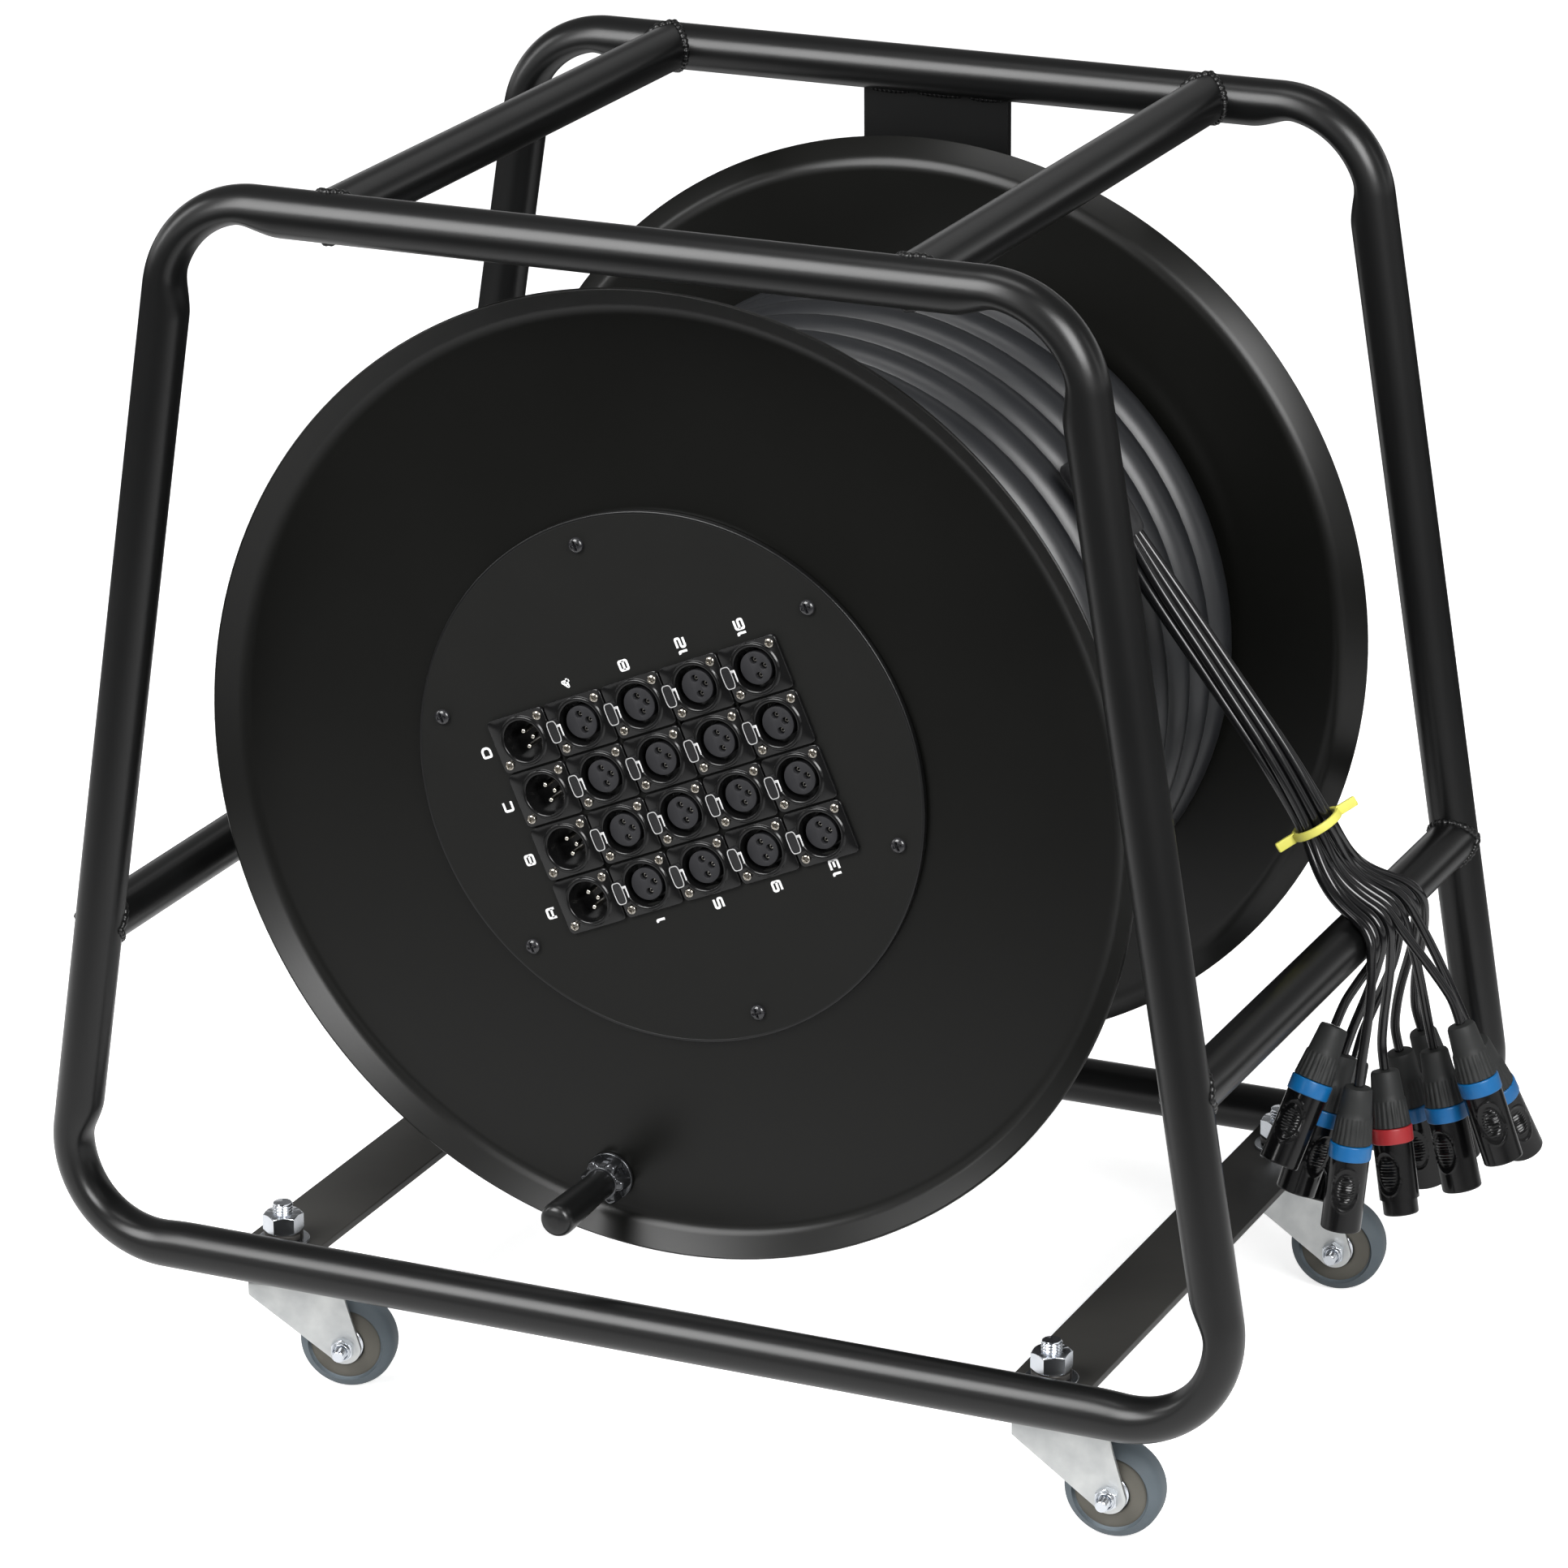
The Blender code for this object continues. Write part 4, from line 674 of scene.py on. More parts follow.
# Outer layer of the multicore cable: 27.4 mm round PVC, wound by hand in ten rings side by side.
# Each ring lies square to the axle over its right half and steps along over its lower left half.
POINTS_PER_TURN, WINDING_START = 96, math.radians(135)
turn = np.arange(int((TURNS - 0.5) * POINTS_PER_TURN) + 1) / POINTS_PER_TURN
ramp = np.maximum((turn % 1 - 0.5) / 0.5, 0.0)
along = (np.floor(turn) + ramp * ramp * (3 - 2 * ramp)) * TURN_PITCH
angle = WINDING_START - math.tau * turn
route = np.stack([TURN_R * np.cos(angle), SPOOL_REAR_Y - 0.3 - TURN_PITCH / 2 - along,
                  AXLE_Z + TURN_R * np.sin(angle)], -1)
start = route[0] + unit(route[0] - route[1]) * CABLE_D
end = route[-1] + unit(route[-1] - route[-2]) * CABLE_D
route = np.concatenate([[start], route, [end]])
piece("outer_winding_cable", [tube(route, CABLE_D / 2, 32)], jacket, "drum", ["outer_winding"], sharp=60)

# Bearing. A turned steel spindle on a flange on the rear upright, the cast hub that is bolted
# inside the rear disc and turns on it, and the nut on the spindle's end.
turned_steel = finish("turned_steel", (0.36, 0.37, 0.39), (0.50, 0.51, 0.53), (0.24, 0.38), patches=80.0,
                      metallic=1.0)
SHAFT_R, SHAFT_FOOT_R, SHAFT_FOOT_T, FOOT_BOLTS_R = 12.5, 35.0, 6.0, 26.0
HUB_BARREL_R, HUB_FOOT_R, HUB_FOOT_T = 31.0, 60.0, 6.0
spindle_front, flange_y = (corner.y for corner in box("spindle"))
nut_y = box("spindle_nut")[1].y
reach, shoulder = flange_y - spindle_front, flange_y - nut_y
spindle = rounded([(SHAFT_R - 3, reach), (SHAFT_R - 2, reach - 1), (SHAFT_R - 2, shoulder),
                   (SHAFT_R, shoulder), (SHAFT_R, SHAFT_FOOT_T), (SHAFT_FOOT_R, SHAFT_FOOT_T),
                   (SHAFT_FOOT_R, 0), (0.2, 0)], 0.5)
bolts = [hexagon_nut(8, SHAFT_FOOT_T, SHAFT_FOOT_T + 3.5) + place
         for place in rings(FOOT_BOLTS_R, around(4) + math.pi / 4, 0)]
piece("spindle_turned", [turned(spindle)], turned_steel, nodes=["spindle"], at=spool_frame(flange_y))
piece("spindle_flange_bolts", bolts, zinc, at=spool_frame(flange_y))
hub_low, hub_high = box("bearing_hub")
length = hub_high.y - hub_low.y
hub = rounded([(SHAFT_R + 0.5, length), (HUB_BARREL_R, length), (HUB_BARREL_R, HUB_FOOT_T),
               (HUB_FOOT_R, HUB_FOOT_T), (HUB_FOOT_R, 0), (SHAFT_R + 0.5, 0)],
              [0.8, 1.5, 3.0, 1.2, 0.5, 0.8], 5, loop=True)
piece("bearing_hub_cast", [turned(hub, 96)], black_coat, "drum", ["bearing_hub"], at=spool_frame(hub_high.y),
      joined=True)
piece("spindle_lock_nut", [hexagon_nut(36, 0, 12)], zinc, nodes=["spindle_nut"], at=spool_frame(nut_y))

# Socket panel. A round plate with a rounded edge and a fine textured black coat, over the front
# disc's hole, held by six black pan head screws. It carries 20 line sockets and their numbers.
panel_black = finish("panel_black", (0.0046, 0.0048, 0.0043), (0.0066, 0.0066, 0.0060), (0.46, 0.56),
                     patches=14.0, grain=(800.0, 0.03), specular=0.22)
black_screw = finish("black_screw", (0.012, 0.012, 0.014), (0.022, 0.022, 0.024), (0.16, 0.26), coat=0.4)
PANEL_TURN, PANEL_T, PANEL_R = 113.2, 3.0, 127.6
PANEL_BACK_Y = DISC_FACE_Y - 0.3


def panel_frame(x=0.0, y=0.0, z=0.0):
    """A frame on the panel at a place: X is the panel's right, Y its top, Z the way out of it."""
    turn = Matrix.Rotation(math.radians(PANEL_TURN), 4, "Z")
    return spool_frame(PANEL_BACK_Y) @ turn @ Matrix.Translation((x, y, z))


def screw_head(radius, height, slot_width, columns=40):
    """A domed head with a cross recess, from its foot up and in to its middle.

    z(r, a) = height * (1 - (r / R)^4 / 2) - the recess, which is as deep as 0.7 of the height
    within slot_width of either arm of the cross and ends at 0.66 of the radius.
    """
    r = np.concatenate([[radius, radius], np.linspace(radius, 0.04 * radius, 16)])[:, None]
    a = around(columns)
    x, y = np.abs(r * np.cos(a)), np.abs(r * np.sin(a))
    arm = np.clip((slot_width - np.minimum(x, y)) / (0.3 * slot_width), 0, 1)
    inside = np.clip((0.66 * radius - r) / (0.12 * radius), 0, 1)
    z = height * (1 - 0.5 * (r / radius) ** 4) - 0.7 * height * arm * inside
    z[0], z[1] = -0.3 * height, 0.1 * height
    return rings(r, a, z)


PITCH_X, PITCH_Y, COLUMNS, ROWS, SHIFT_X, SHIFT_Y = 27.0, 32.0, 4, 5, -3.0, -1.2
places = [((column - (COLUMNS - 1) / 2) * PITCH_X + SHIFT_X, ((ROWS - 1) / 2 - row) * PITCH_Y + SHIFT_Y)
          for row in range(ROWS) for column in range(COLUMNS)]
male_places, female_places = places[:COLUMNS], places[COLUMNS:]
CUT_IN, STRIP_HALF = 4.0, 2.5
cut_w, cut_h = COLUMNS * PITCH_X / 2 - CUT_IN, ROWS * PITCH_Y / 2 - CUT_IN
outer = collar(PANEL_R - 2, PANEL_R, 0, PANEL_T, [0.3, 0.3, 0.9, 0.9])
a = around(180)
reach = np.minimum(cut_w / np.maximum(np.abs(np.cos(a)), 1e-6), cut_h / np.maximum(np.abs(np.sin(a)), 1e-6))
cut = rings(reach, a, np.array([[PANEL_T], [0.0]])) + (SHIFT_X, SHIFT_Y, 0)
piece("panel_plate", [np.concatenate([turned(outer, 180), cut])], panel_black, "drum", ["socket_panel"],
      at=panel_frame(), joined=True)
strips = []
for k in range(1, COLUMNS):
    x = SHIFT_X + (k - COLUMNS / 2) * PITCH_X
    strips.append(slab((x - STRIP_HALF, SHIFT_Y - cut_h - 1, 0.2),
                       (x + STRIP_HALF, SHIFT_Y + cut_h + 1, PANEL_T), 0.2))
for k in range(1, ROWS):
    y = SHIFT_Y + (k - ROWS / 2) * PITCH_Y
    strips.append(slab((SHIFT_X - cut_w - 1, y - STRIP_HALF, 0.2),
                       (SHIFT_X + cut_w + 1, y + STRIP_HALF, PANEL_T), 0.2, axis=0))
piece("panel_plate_ribs", strips, panel_black, "drum", at=panel_frame())
bead = collar(PANEL_R - 1.5, PANEL_R + 0.05, 0.2, PANEL_T + 0.05, [0.1, 0.1, 1.1, 0.3], 5, loop=True)
piece("panel_plate_edge", [turned(bead, 180)], black_coat, "drum", at=panel_frame(), joined=True)
SCREW_CIRCLE_R, FIRST_SCREW = 115.9, math.radians(112.55 - PANEL_TURN)
screws = [screw_head(3.6, 2.4, 0.55) + place
          for place in rings(SCREW_CIRCLE_R, around(6) + FIRST_SCREW, PANEL_T)]
piece("panel_screws", screws, black_screw, "drum", at=panel_frame(), sharp=50)

# Line sockets. Each has a diecast black flange with two plated screws and a raised ring round the
# mouth. Four have three pins in a deep cup. Sixteen have a grey insert with three contacts.
socket_black = finish("socket_black", (0.0040, 0.0040, 0.0042), (0.0060, 0.0060, 0.0061), (0.14, 0.20),
                      patches=60.0, grain=(1300.0, 0.006), specular=0.38)
insert_grey = finish("insert_grey", (0.017, 0.017, 0.019), (0.024, 0.024, 0.0265), (0.48, 0.58),
                     patches=110.0, grain=(2200.0, 0.008), specular=0.3)
# Near black, for the floors of contact holes: painted shade where a deep hole is dark
painted_hole_shade = finish("painted_hole_shade", (0.002, 0.002, 0.002), (0.003, 0.003, 0.003), (0.6, 0.7), specular=0.1)
plated = finish("plated_pin", (0.72, 0.68, 0.60), (0.90, 0.87, 0.80), (0.14, 0.22), patches=300.0,
                metallic=1.0)
plated_screw = finish("plated_screw", (0.26, 0.24, 0.21), (0.52, 0.49, 0.44), (0.16, 0.26), patches=420.0,
                      metallic=1.0)
FLANGE_W, FLANGE_H, FLANGE_T, FLANGE_CORNER = 26.2, 31.2, 2.0, 3.0
FEMALE_R, INSERT_R, INSERT_SINK, FEMALE_DEPTH = 10.4, 7.8, 1.2, 9.0
MALE_R, MALE_DEPTH, CONTACT_CIRCLE_R = 9.8, 11.0, 3.8
CONTACTS = rings(CONTACT_CIRCLE_R, np.array([0.0, 0.5, 0.75]) * math.tau, 0)[:, :2]
face = PANEL_T + FLANGE_T


def flange_outline(inset=0.0):
    """Points round the flange, with its corners rounded and each side split in eight."""
    w, h = FLANGE_W / 2 - inset, FLANGE_H / 2 - inset
    corners = rounded([(w, -h), (w, h), (-w, h), (-w, -h)], FLANGE_CORNER, 7, loop=True).reshape(4, 8, 2)
    side = np.linspace(0, 1, 10)[None, 1:-1, None]
    sides = corners[:, -1:] * (1 - side) + np.roll(corners, -1, 0)[:, :1] * side
    return np.concatenate([corners, sides], axis=1).reshape(-1, 2)


def socket_shell(mouth, depth):
    """The flange and mouth as one shell: up the flange's side, in over its face, up and over the
    ring round the mouth, and down the mouth's wall."""
    base, brim = flange_outline(), flange_outline(0.35)
    rows = [(base, -FLANGE_T - 0.5), (base, -0.35), ((base + brim) / 2, -0.1), (brim, 0)]
    rows += [(unit(base) * (mouth + out), rise) for out, rise in (
        (2.4, 0), (2.2, 0.1), (1.9, 0.75), (1.5, 0.95), (0.7, 0.95), (0.2, 0.7), (0, 0.2), (0, -depth))]
    return np.stack([np.insert(ring, 2, face + rise, axis=1) for ring, rise in rows])


def copies(grid, spots):
    """The grid moved to each of these spots on the panel."""
    return [grid + (x, y, 0) for x, y in spots]


shells, floors = [], []
for spots, mouth, depth in ((male_places, MALE_R, MALE_DEPTH), (female_places, FEMALE_R, FEMALE_DEPTH)):
    shells += copies(socket_shell(mouth, depth), spots)
    floors += copies(turned([(mouth + 0.3, face - depth), (mouth + 0.3, face - depth - 1)], 48), spots)
piece("socket_shells", shells, socket_black, "drum", at=panel_frame(), joined=True, sharp=42)
piece("socket_floors", floors, socket_black, "drum", at=panel_frame())

insert_face = face - INSERT_SINK
WELL_R, WELL_DEPTH, INSERT_EDGE = 1.7, 3.4, 0.25
insert_line = bpy.data.curves.new("insert_line", "CURVE")
insert_line.dimensions = "2D"
insert_line.fill_mode = "BOTH"
insert_line.extrude = (FEMALE_DEPTH - INSERT_SINK) / 2 - INSERT_EDGE
insert_line.bevel_depth = INSERT_EDGE
insert_line.bevel_resolution = 1
for middle, radius, count in [((0, 0), INSERT_R - INSERT_EDGE, 56)] + [
        (place, WELL_R + INSERT_EDGE, 24) for place in CONTACTS]:
    spline = insert_line.splines.new("POLY")
    spline.points.add(count - 1)
    hole = turned([(radius, 0)], count)[0] + (*middle, 0)
    spline.points.foreach_set("co", np.insert(hole, 3, 1, axis=1).ravel())
    spline.use_cyclic_u = True
writer = linked("writer", insert_line)
insert = bpy.data.meshes.new_from_object(writer.evaluated_get(bpy.context.evaluated_depsgraph_get()))
bpy.data.objects.remove(writer)
inserts = bmesh.new()
for x, y in female_places:
    one = insert.copy()
    one.transform(panel_frame(x, y, (face - FEMALE_DEPTH + insert_face) / 2))
    inserts.from_mesh(one)
    bpy.data.meshes.remove(one)
bmesh.ops.remove_doubles(inserts, verts=inserts.verts, dist=0.001)
bmesh.ops.recalc_face_normals(inserts, faces=inserts.faces)
inserts_mesh = bpy.data.meshes.new("socket_inserts")
inserts.to_mesh(inserts_mesh)
inserts_mesh.transform(Matrix.Scale(MM, 4))
finished("socket_inserts", inserts_mesh, insert_grey, "drum")

well_foot, contact_top, pin_top = insert_face - WELL_DEPTH, insert_face - 2.2, face - 2.5
# The floor of each contact hole in an insert is a near-black disc: painted shade of the deep hole, round the
# plated contact ring.
well = turned([(WELL_R + 0.6, well_foot), (0.1, well_foot)], 24)
contact = turned([(1.0, well_foot), (1.0, contact_top), (0.55, contact_top), (0.55, well_foot)], 16)
pin = turned(rounded([(1.2, face - MALE_DEPTH - 0.5), (1.2, pin_top - 0.6), (0.8, pin_top), (0.05, pin_top)],
                     0.5), 24)
key = slab((-0.9, -9.7, face - MALE_DEPTH), (0.9, -7.4, face - 1.5), 0.3)
male_contacts, female_contacts = ([(x + dx, y + dy) for x, y in spots for dx, dy in CONTACTS]
                                  for spots in (male_places, female_places))
screws = [put(screw_head(2.2, 1.2, 0.35, 32), Matrix.Rotation(0.4 * (x + y), 4, "Z"))
          + (x + side * 9.4, y - side * 11.8, face) for x, y in places for side in (-1, 1)]
piece("socket_contact_hole_shade", copies(well, female_contacts), painted_hole_shade, "drum", at=panel_frame())
piece("socket_contacts", copies(contact, female_contacts), plated, "drum", at=panel_frame(), joined=True)
piece("socket_pins", copies(pin, male_contacts), plated, "drum", at=panel_frame())
piece("socket_keys", copies(key, male_places), socket_black, "drum", at=panel_frame())
piece("socket_screws", screws, plated_screw, "drum", at=panel_frame(), sharp=50)

# Numbers and letters. Plain bold white paint on the panel beside the sockets, upright in the
# panel's own frame, so that they lie turned with it.
paint = finish("white_paint", (0.80, 0.80, 0.80), (0.88, 0.88, 0.88), (0.45, 0.55), specular=0.3)
RIGHT_LABEL_X, LEFT_LABEL_X, LETTER_Y = 56.7, -61.6, 85.1
CELL_W, CELL_H, STROKE, PAINT_T, DIGIT_STEP = 0.72, 0.6984, 1.15, 0.08, 4.3
# Each character's strokes, on a grid that is 6 cells wide and 6 high
STROKES = {
    "A": [[(0, 0), (0, 6), (6, 6), (6, 0)], [(0, 2.4), (6, 2.4)]],
    "B": [[(3, 6), (0, 6), (0, 0), (6, 0), (6, 6), (3, 6)], [(0, 3), (6, 3)]],
    "C": [[(6, 6), (0, 6), (0, 0), (6, 0)]],
    "D": [[(2, 6), (0, 6), (0, 0), (4.5, 0), (6, 1.5), (6, 4.5), (4.5, 6), (2, 6)]],
    "1": [[(1.6, 5.7), (3.2, 6), (3.2, 0)]],
    "2": [[(0, 6), (6, 6), (6, 3), (0, 3), (0, 0), (6, 0)]],
    "3": [[(0, 6), (6, 6), (6, 0), (0, 0)], [(1.4, 3), (6, 3)]],
    "4": [[(4.4, 0), (4.4, 6), (0, 1.8), (6, 1.8)]],
    "5": [[(6, 6), (0, 6), (0, 3), (6, 3), (6, 0), (0, 0)]],
    "6": [[(6, 6), (0, 6), (0, 0), (6, 0), (6, 3.2), (0, 3.2)]],
    "8": [[(3, 6), (0, 6), (0, 0), (6, 0), (6, 6), (3, 6)], [(0, 3), (6, 3)]],
    "9": [[(6, 2.8), (0, 2.8), (0, 6), (6, 6), (6, 0), (0, 0)]],
}
labels = [(letter, x - 0.8, LETTER_Y) for letter, (x, y) in zip("ABCD", male_places)]
labels += [(str(index + 1), RIGHT_LABEL_X if index % 4 else LEFT_LABEL_X, y + 0.4)
           for index, (x, y) in enumerate(female_places) if index % 4 in (0, 3)]
for text, x, y in labels:
    ribbons = []
    for k, letter in enumerate(text):
        shift = (k - 0.5) * DIGIT_STEP * (len(text) - 1)
        for stroke in STROKES[letter]:
            line = rounded((np.array(stroke) - 3) * (CELL_W, CELL_H), 0.8, 5) + (shift, 0)
            line = line[np.insert(np.linalg.norm(np.diff(line, axis=0), axis=1) > 1e-4, 0, True)]
            side = unit(np.gradient(line, axis=0))[:, ::-1] * (-STROKE / 2, STROKE / 2)
            edges = [(side, 0), (-side, 0), (-side, PAINT_T), (side, PAINT_T)]
            ribbons.append(np.stack([np.insert(line + out, 2, z, axis=1) for out, z in edges], 1))
    piece("label_" + text, ribbons, paint, "drum", at=panel_frame(x, y, PANEL_T + 0.01))

# Release tabs. Over each female socket a sprung black oval tab with a plated edge and a plated
# stem that runs to the mouth. They press in 1.4 mm.
latch_black = finish("latch_black", (0.010, 0.010, 0.011), (0.016, 0.016, 0.017), (0.22, 0.32),
                     patches=90.0, coat=0.3)
silver = finish("plated_edge", (0.64, 0.64, 0.64), (0.86, 0.86, 0.86), (0.28, 0.38), patches=300.0,
                metallic=0.6)
LATCH_CENTRE, LATCH_W, LATCH_H = 13.1, 11.4, 6.0
top, foot = (PANEL_BACK_Y - corner.y for corner in box("push_latch_01"))


def oval(z, inset=0.0, share=1.0):
    """A ring of points round a tab at height z: (W sqrt|cos a|, H sqrt|sin a|), each with the sign
    of its cosine or sine. W and H are half the tab's sides less the inset, times the share."""
    a = around(48)
    curve = np.stack([np.cos(a), np.sin(a)], -1)
    half = np.array((LATCH_W - inset, LATCH_H - inset)) / 2 * share
    return np.insert(half * np.sign(curve) * np.sqrt(np.abs(curve)), 2, z, axis=1)


tab = np.stack([oval(foot), oval(top - 0.5), oval(top, 0.3), oval(top, 1.7), oval(top - 0.35, 2.0),
                oval(top - 0.35, share=0.3)])
edge = np.stack([oval(top - 0.2, 0.7), oval(top + 0.1, 0.7), oval(top + 0.1, 1.5), oval(top - 0.2, 1.5)])
stem_y = -LATCH_H / 2
stem = [slab((-2.9, stem_y - 1.5, top - 0.6), (2.9, stem_y - 0.8, top + 0.1), 0.15),
        slab((1.7, stem_y - 1.0, top - 0.6), (2.9, stem_y + 0.5, top + 0.1), 0.15)]
for index, (x, y) in enumerate(female_places):
    name, body = "push_latch_%02d" % (index + 1), "latch_%02d" % (index + 1)
    at = panel_frame(x, y + LATCH_CENTRE)
    piece(name + "_tab", [tab], latch_black, body, [name], at)
    piece(name + "_edge", [edge], silver, body, at=at, joined=True)
    piece(name + "_stem", stem, silver, body, at=at)

# Crank. A washer and a bright black lobed nut on a stud near the front disc's edge, and on the
# stud a free turning black grip that swells toward its rounded end.
grip_black = finish("grip_black", (0.0040, 0.0042, 0.0043), (0.0064, 0.0066, 0.0066), (0.26, 0.36),
                    patches=50.0, grain=(900.0, 0.006), coat=0.12, specular=0.40)
crank_black = finish("crank_black_plate", (0.050, 0.052, 0.056), (0.110, 0.113, 0.120), (0.12, 0.22),
                     patches=90.0, metallic=0.9, coat=0.3)
CRANK_R, CRANK_ANGLE = 205.7, math.radians(-99.5)
at = spool_frame(DISC_FACE_Y - 0.3) @ Matrix.Translation(
    (CRANK_R * math.cos(CRANK_ANGLE), CRANK_R * math.sin(CRANK_ANGLE), 0))
WASHER_R, WASHER_T, LOBED_R, LOBE, LOBES, LOBED_H = 11.8, 2.0, 10.2, 1.4, 6, 9.0
rise = np.array([0.0, 0.3, 1.0, 2.5, 5.0, 7.0, 8.0, 8.6, LOBED_H])[:, None]
shrink = np.array([0.8, 0.3, 0.0, 0.0, 0.0, 0.2, 0.6, 1.2, 2.4])[:, None]
a = around(120)
lobed = rings(LOBED_R + LOBE * np.clip(1.6 * np.cos(LOBES * a), -1, 1) - shrink, a, WASHER_T + rise)
washer = collar(0.3, WASHER_R, 0, WASHER_T, 0.6)
sleeve = rounded([(4, WASHER_T + 8), (8.3, WASHER_T + 8.6), (8.1, WASHER_T + 9.2),
                  (4, WASHER_T + 9.25)], 0.25)
piece("crank_stud_nut", [lobed, turned(washer), turned(sleeve)], crank_black, "drum", ["crank_stud"], at)
GRIP_LENGTH, GRIP_BASE_R, GRIP_END_R = 50.0, 7.0, 8.3
start = WASHER_T + LOBED_H + 0.3
end = start + GRIP_LENGTH
grip = rounded([(4.5, start), (GRIP_BASE_R + 0.3, start), (GRIP_BASE_R, start + 4),
                (GRIP_BASE_R + 0.2, start + 10), (GRIP_END_R, end - 9), (GRIP_END_R, end - 4),
                (GRIP_END_R * 0.80, end - 1.2), (GRIP_END_R * 0.4, end - 0.1), (0.3, end)],
               [0.1, 0.8, 2.5, 6.0, 4.0, 3.2, 3.0, 1.6, 0.1], 7)
piece("crank_grip_moulding", [turned(grip, 80)], grip_black, "crank_handle", ["crank_grip"], at)

# Fan-out tails. Where the multicore ends, a shrunk sleeve covers the joint and its pairs go on as
# ten separate 4.6 mm shiny PVC cords, in a round bundle as far as a tie. They hang over the bar.
tail_jacket = finish("tail_jacket", (0.0045, 0.0045, 0.0050), (0.0075, 0.0075, 0.0082), (0.14, 0.22),
                     patches=60.0, grain=(500.0, 0.004), specular=0.55)
sleeve_black = finish("shrink_sleeve", (0.012, 0.012, 0.013), (0.020, 0.020, 0.021), (0.34, 0.46),
                      patches=60.0, grain=(260.0, 0.08))
TAIL_D, SLEEVE_D, SLEEVE_LENGTH, STRAND_PITCH = 4.6, 22.5, 42.0, 4.75
TWIST, TIE_AT = math.radians(55), 5
LANE_START, LANE_PITCH, BOOT_LENGTH = 22.0, 6.2, 31.0
# Heights on the route and of the connectors are counted from the bottom tube's centre
BUNDLE_ROUTE = [(138, 26, 377), (150, 27, 359), (170, 30, 329), (204, 33, 283), (238, 36, 236),
                (253, 40, 210), (258, 41, 202)]
# Each connector's coding ring, and how far the connector leans along X and Y for each 1 down
CONNECTORS = [((286, 4, 65), (-0.06, -0.13)), ((266, 2, 94), (-0.27, -0.44)),
              ((266, 20, 73), (-0.24, -0.30)), ((292, 46, 58), (0.20, -0.14)),
              ((330, 60, 84), (0.35, 0.02)), ((265, 47, 59), (-0.10, -0.50)),
              ((311, 69, 64), (0.26, -0.05)), ((324, 106, 63), (0.29, 0.42)),
              ((284, 99, 49), (0.21, 0.09)), ((290, 122, 53), (0.29, 0.13))]
# Each cord's place in the bundle, across it and up it, in strand pitches: rows of 3, 4 and 3
STRANDS = [(-1.5, 0), (-1, 0.87), (-1, -0.87), (-0.5, 0), (0, 0.87), (0, -0.87), (0.5, 0), (1, 0.87),
           (1, -0.87), (1.5, 0)]


def smooth_line(knots, spacing):
    """Evenly spaced points on a smooth curve through the knots: cubic pieces whose direction at a
    knot is the mean of the two sides' directions, the shorter side counting more."""
    knots = np.array(knots)
    run = np.linalg.norm(np.diff(knots, axis=0), axis=1)[:, None]
    slope = np.diff(knots, axis=0) / run
    inner = (slope[:-1] * run[1:] + slope[1:] * run[:-1]) / (run[1:] + run[:-1])
    tangent = np.concatenate([slope[:1], inner, slope[-1:]])
    t = (np.arange(32) / 32)[None, :, None]
    a, b, step = knots[:-1, None], knots[1:, None], run[:, None]
    dense = (a * (2 * t ** 3 - 3 * t ** 2 + 1) + b * (3 * t ** 2 - 2 * t ** 3)
             + tangent[:-1, None] * step * (t ** 3 - 2 * t ** 2 + t)
             + tangent[1:, None] * step * (t ** 3 - t ** 2))
    dense = np.concatenate([dense.reshape(-1, 3), knots[-1:]])
    reach = np.concatenate([[0], np.cumsum(np.linalg.norm(np.diff(dense, axis=0), axis=1))])
    wanted = np.linspace(0, reach[-1], int(round(reach[-1] / spacing)) + 1)
    return np.stack([np.interp(wanted, reach, dense[:, k]) for k in range(3)], -1)


def relaxed(line, passes):
    """The line with each inner point moved to the mean of itself and its neighbours, a few times,
    which rounds a bend as a stiff jacket does."""
    for _ in range(passes):
        line = np.concatenate([line[:1], (line[:-2] + line[1:-1] * 2 + line[2:]) / 4, line[-1:]])
    return line


bundle = np.array(BUNDLE_ROUTE) + (0, 0, TUBE_Z)
first = unit(bundle[1] - bundle[0])
mouth = bundle[0] + first * (SLEEVE_LENGTH - 3)
sleeve_rise = np.array([-2.0, 0.0, 3.0, 6.0, 12, 20, 28, 36, 40, SLEEVE_LENGTH])[:, None]
sleeve_r = SLEEVE_D / 2 - np.array([2.0, 0.6, 0.0, 0.1, 0.35, 0.3, 0.5, 0.7, 1.2, 1.9])
piece("fanout_sleeve", [tube(bundle[0] + first * sleeve_rise, sleeve_r, 48)], sleeve_black,
      nodes=["fanout_tails"])
reach = TUBE_R + TAIL_D / 2 + 1.6
bar_middle = np.array((lower_bar_x, lower_bar_z))
sideways = np.array((0.0, 1.0, 0.0))
coding_places = [np.array(ring) + (0, 0, TUBE_Z) for ring, lean in CONNECTORS]
downs = [unit(np.array([*lean, -1.0])) for ring, lean in CONNECTORS]
strands = []
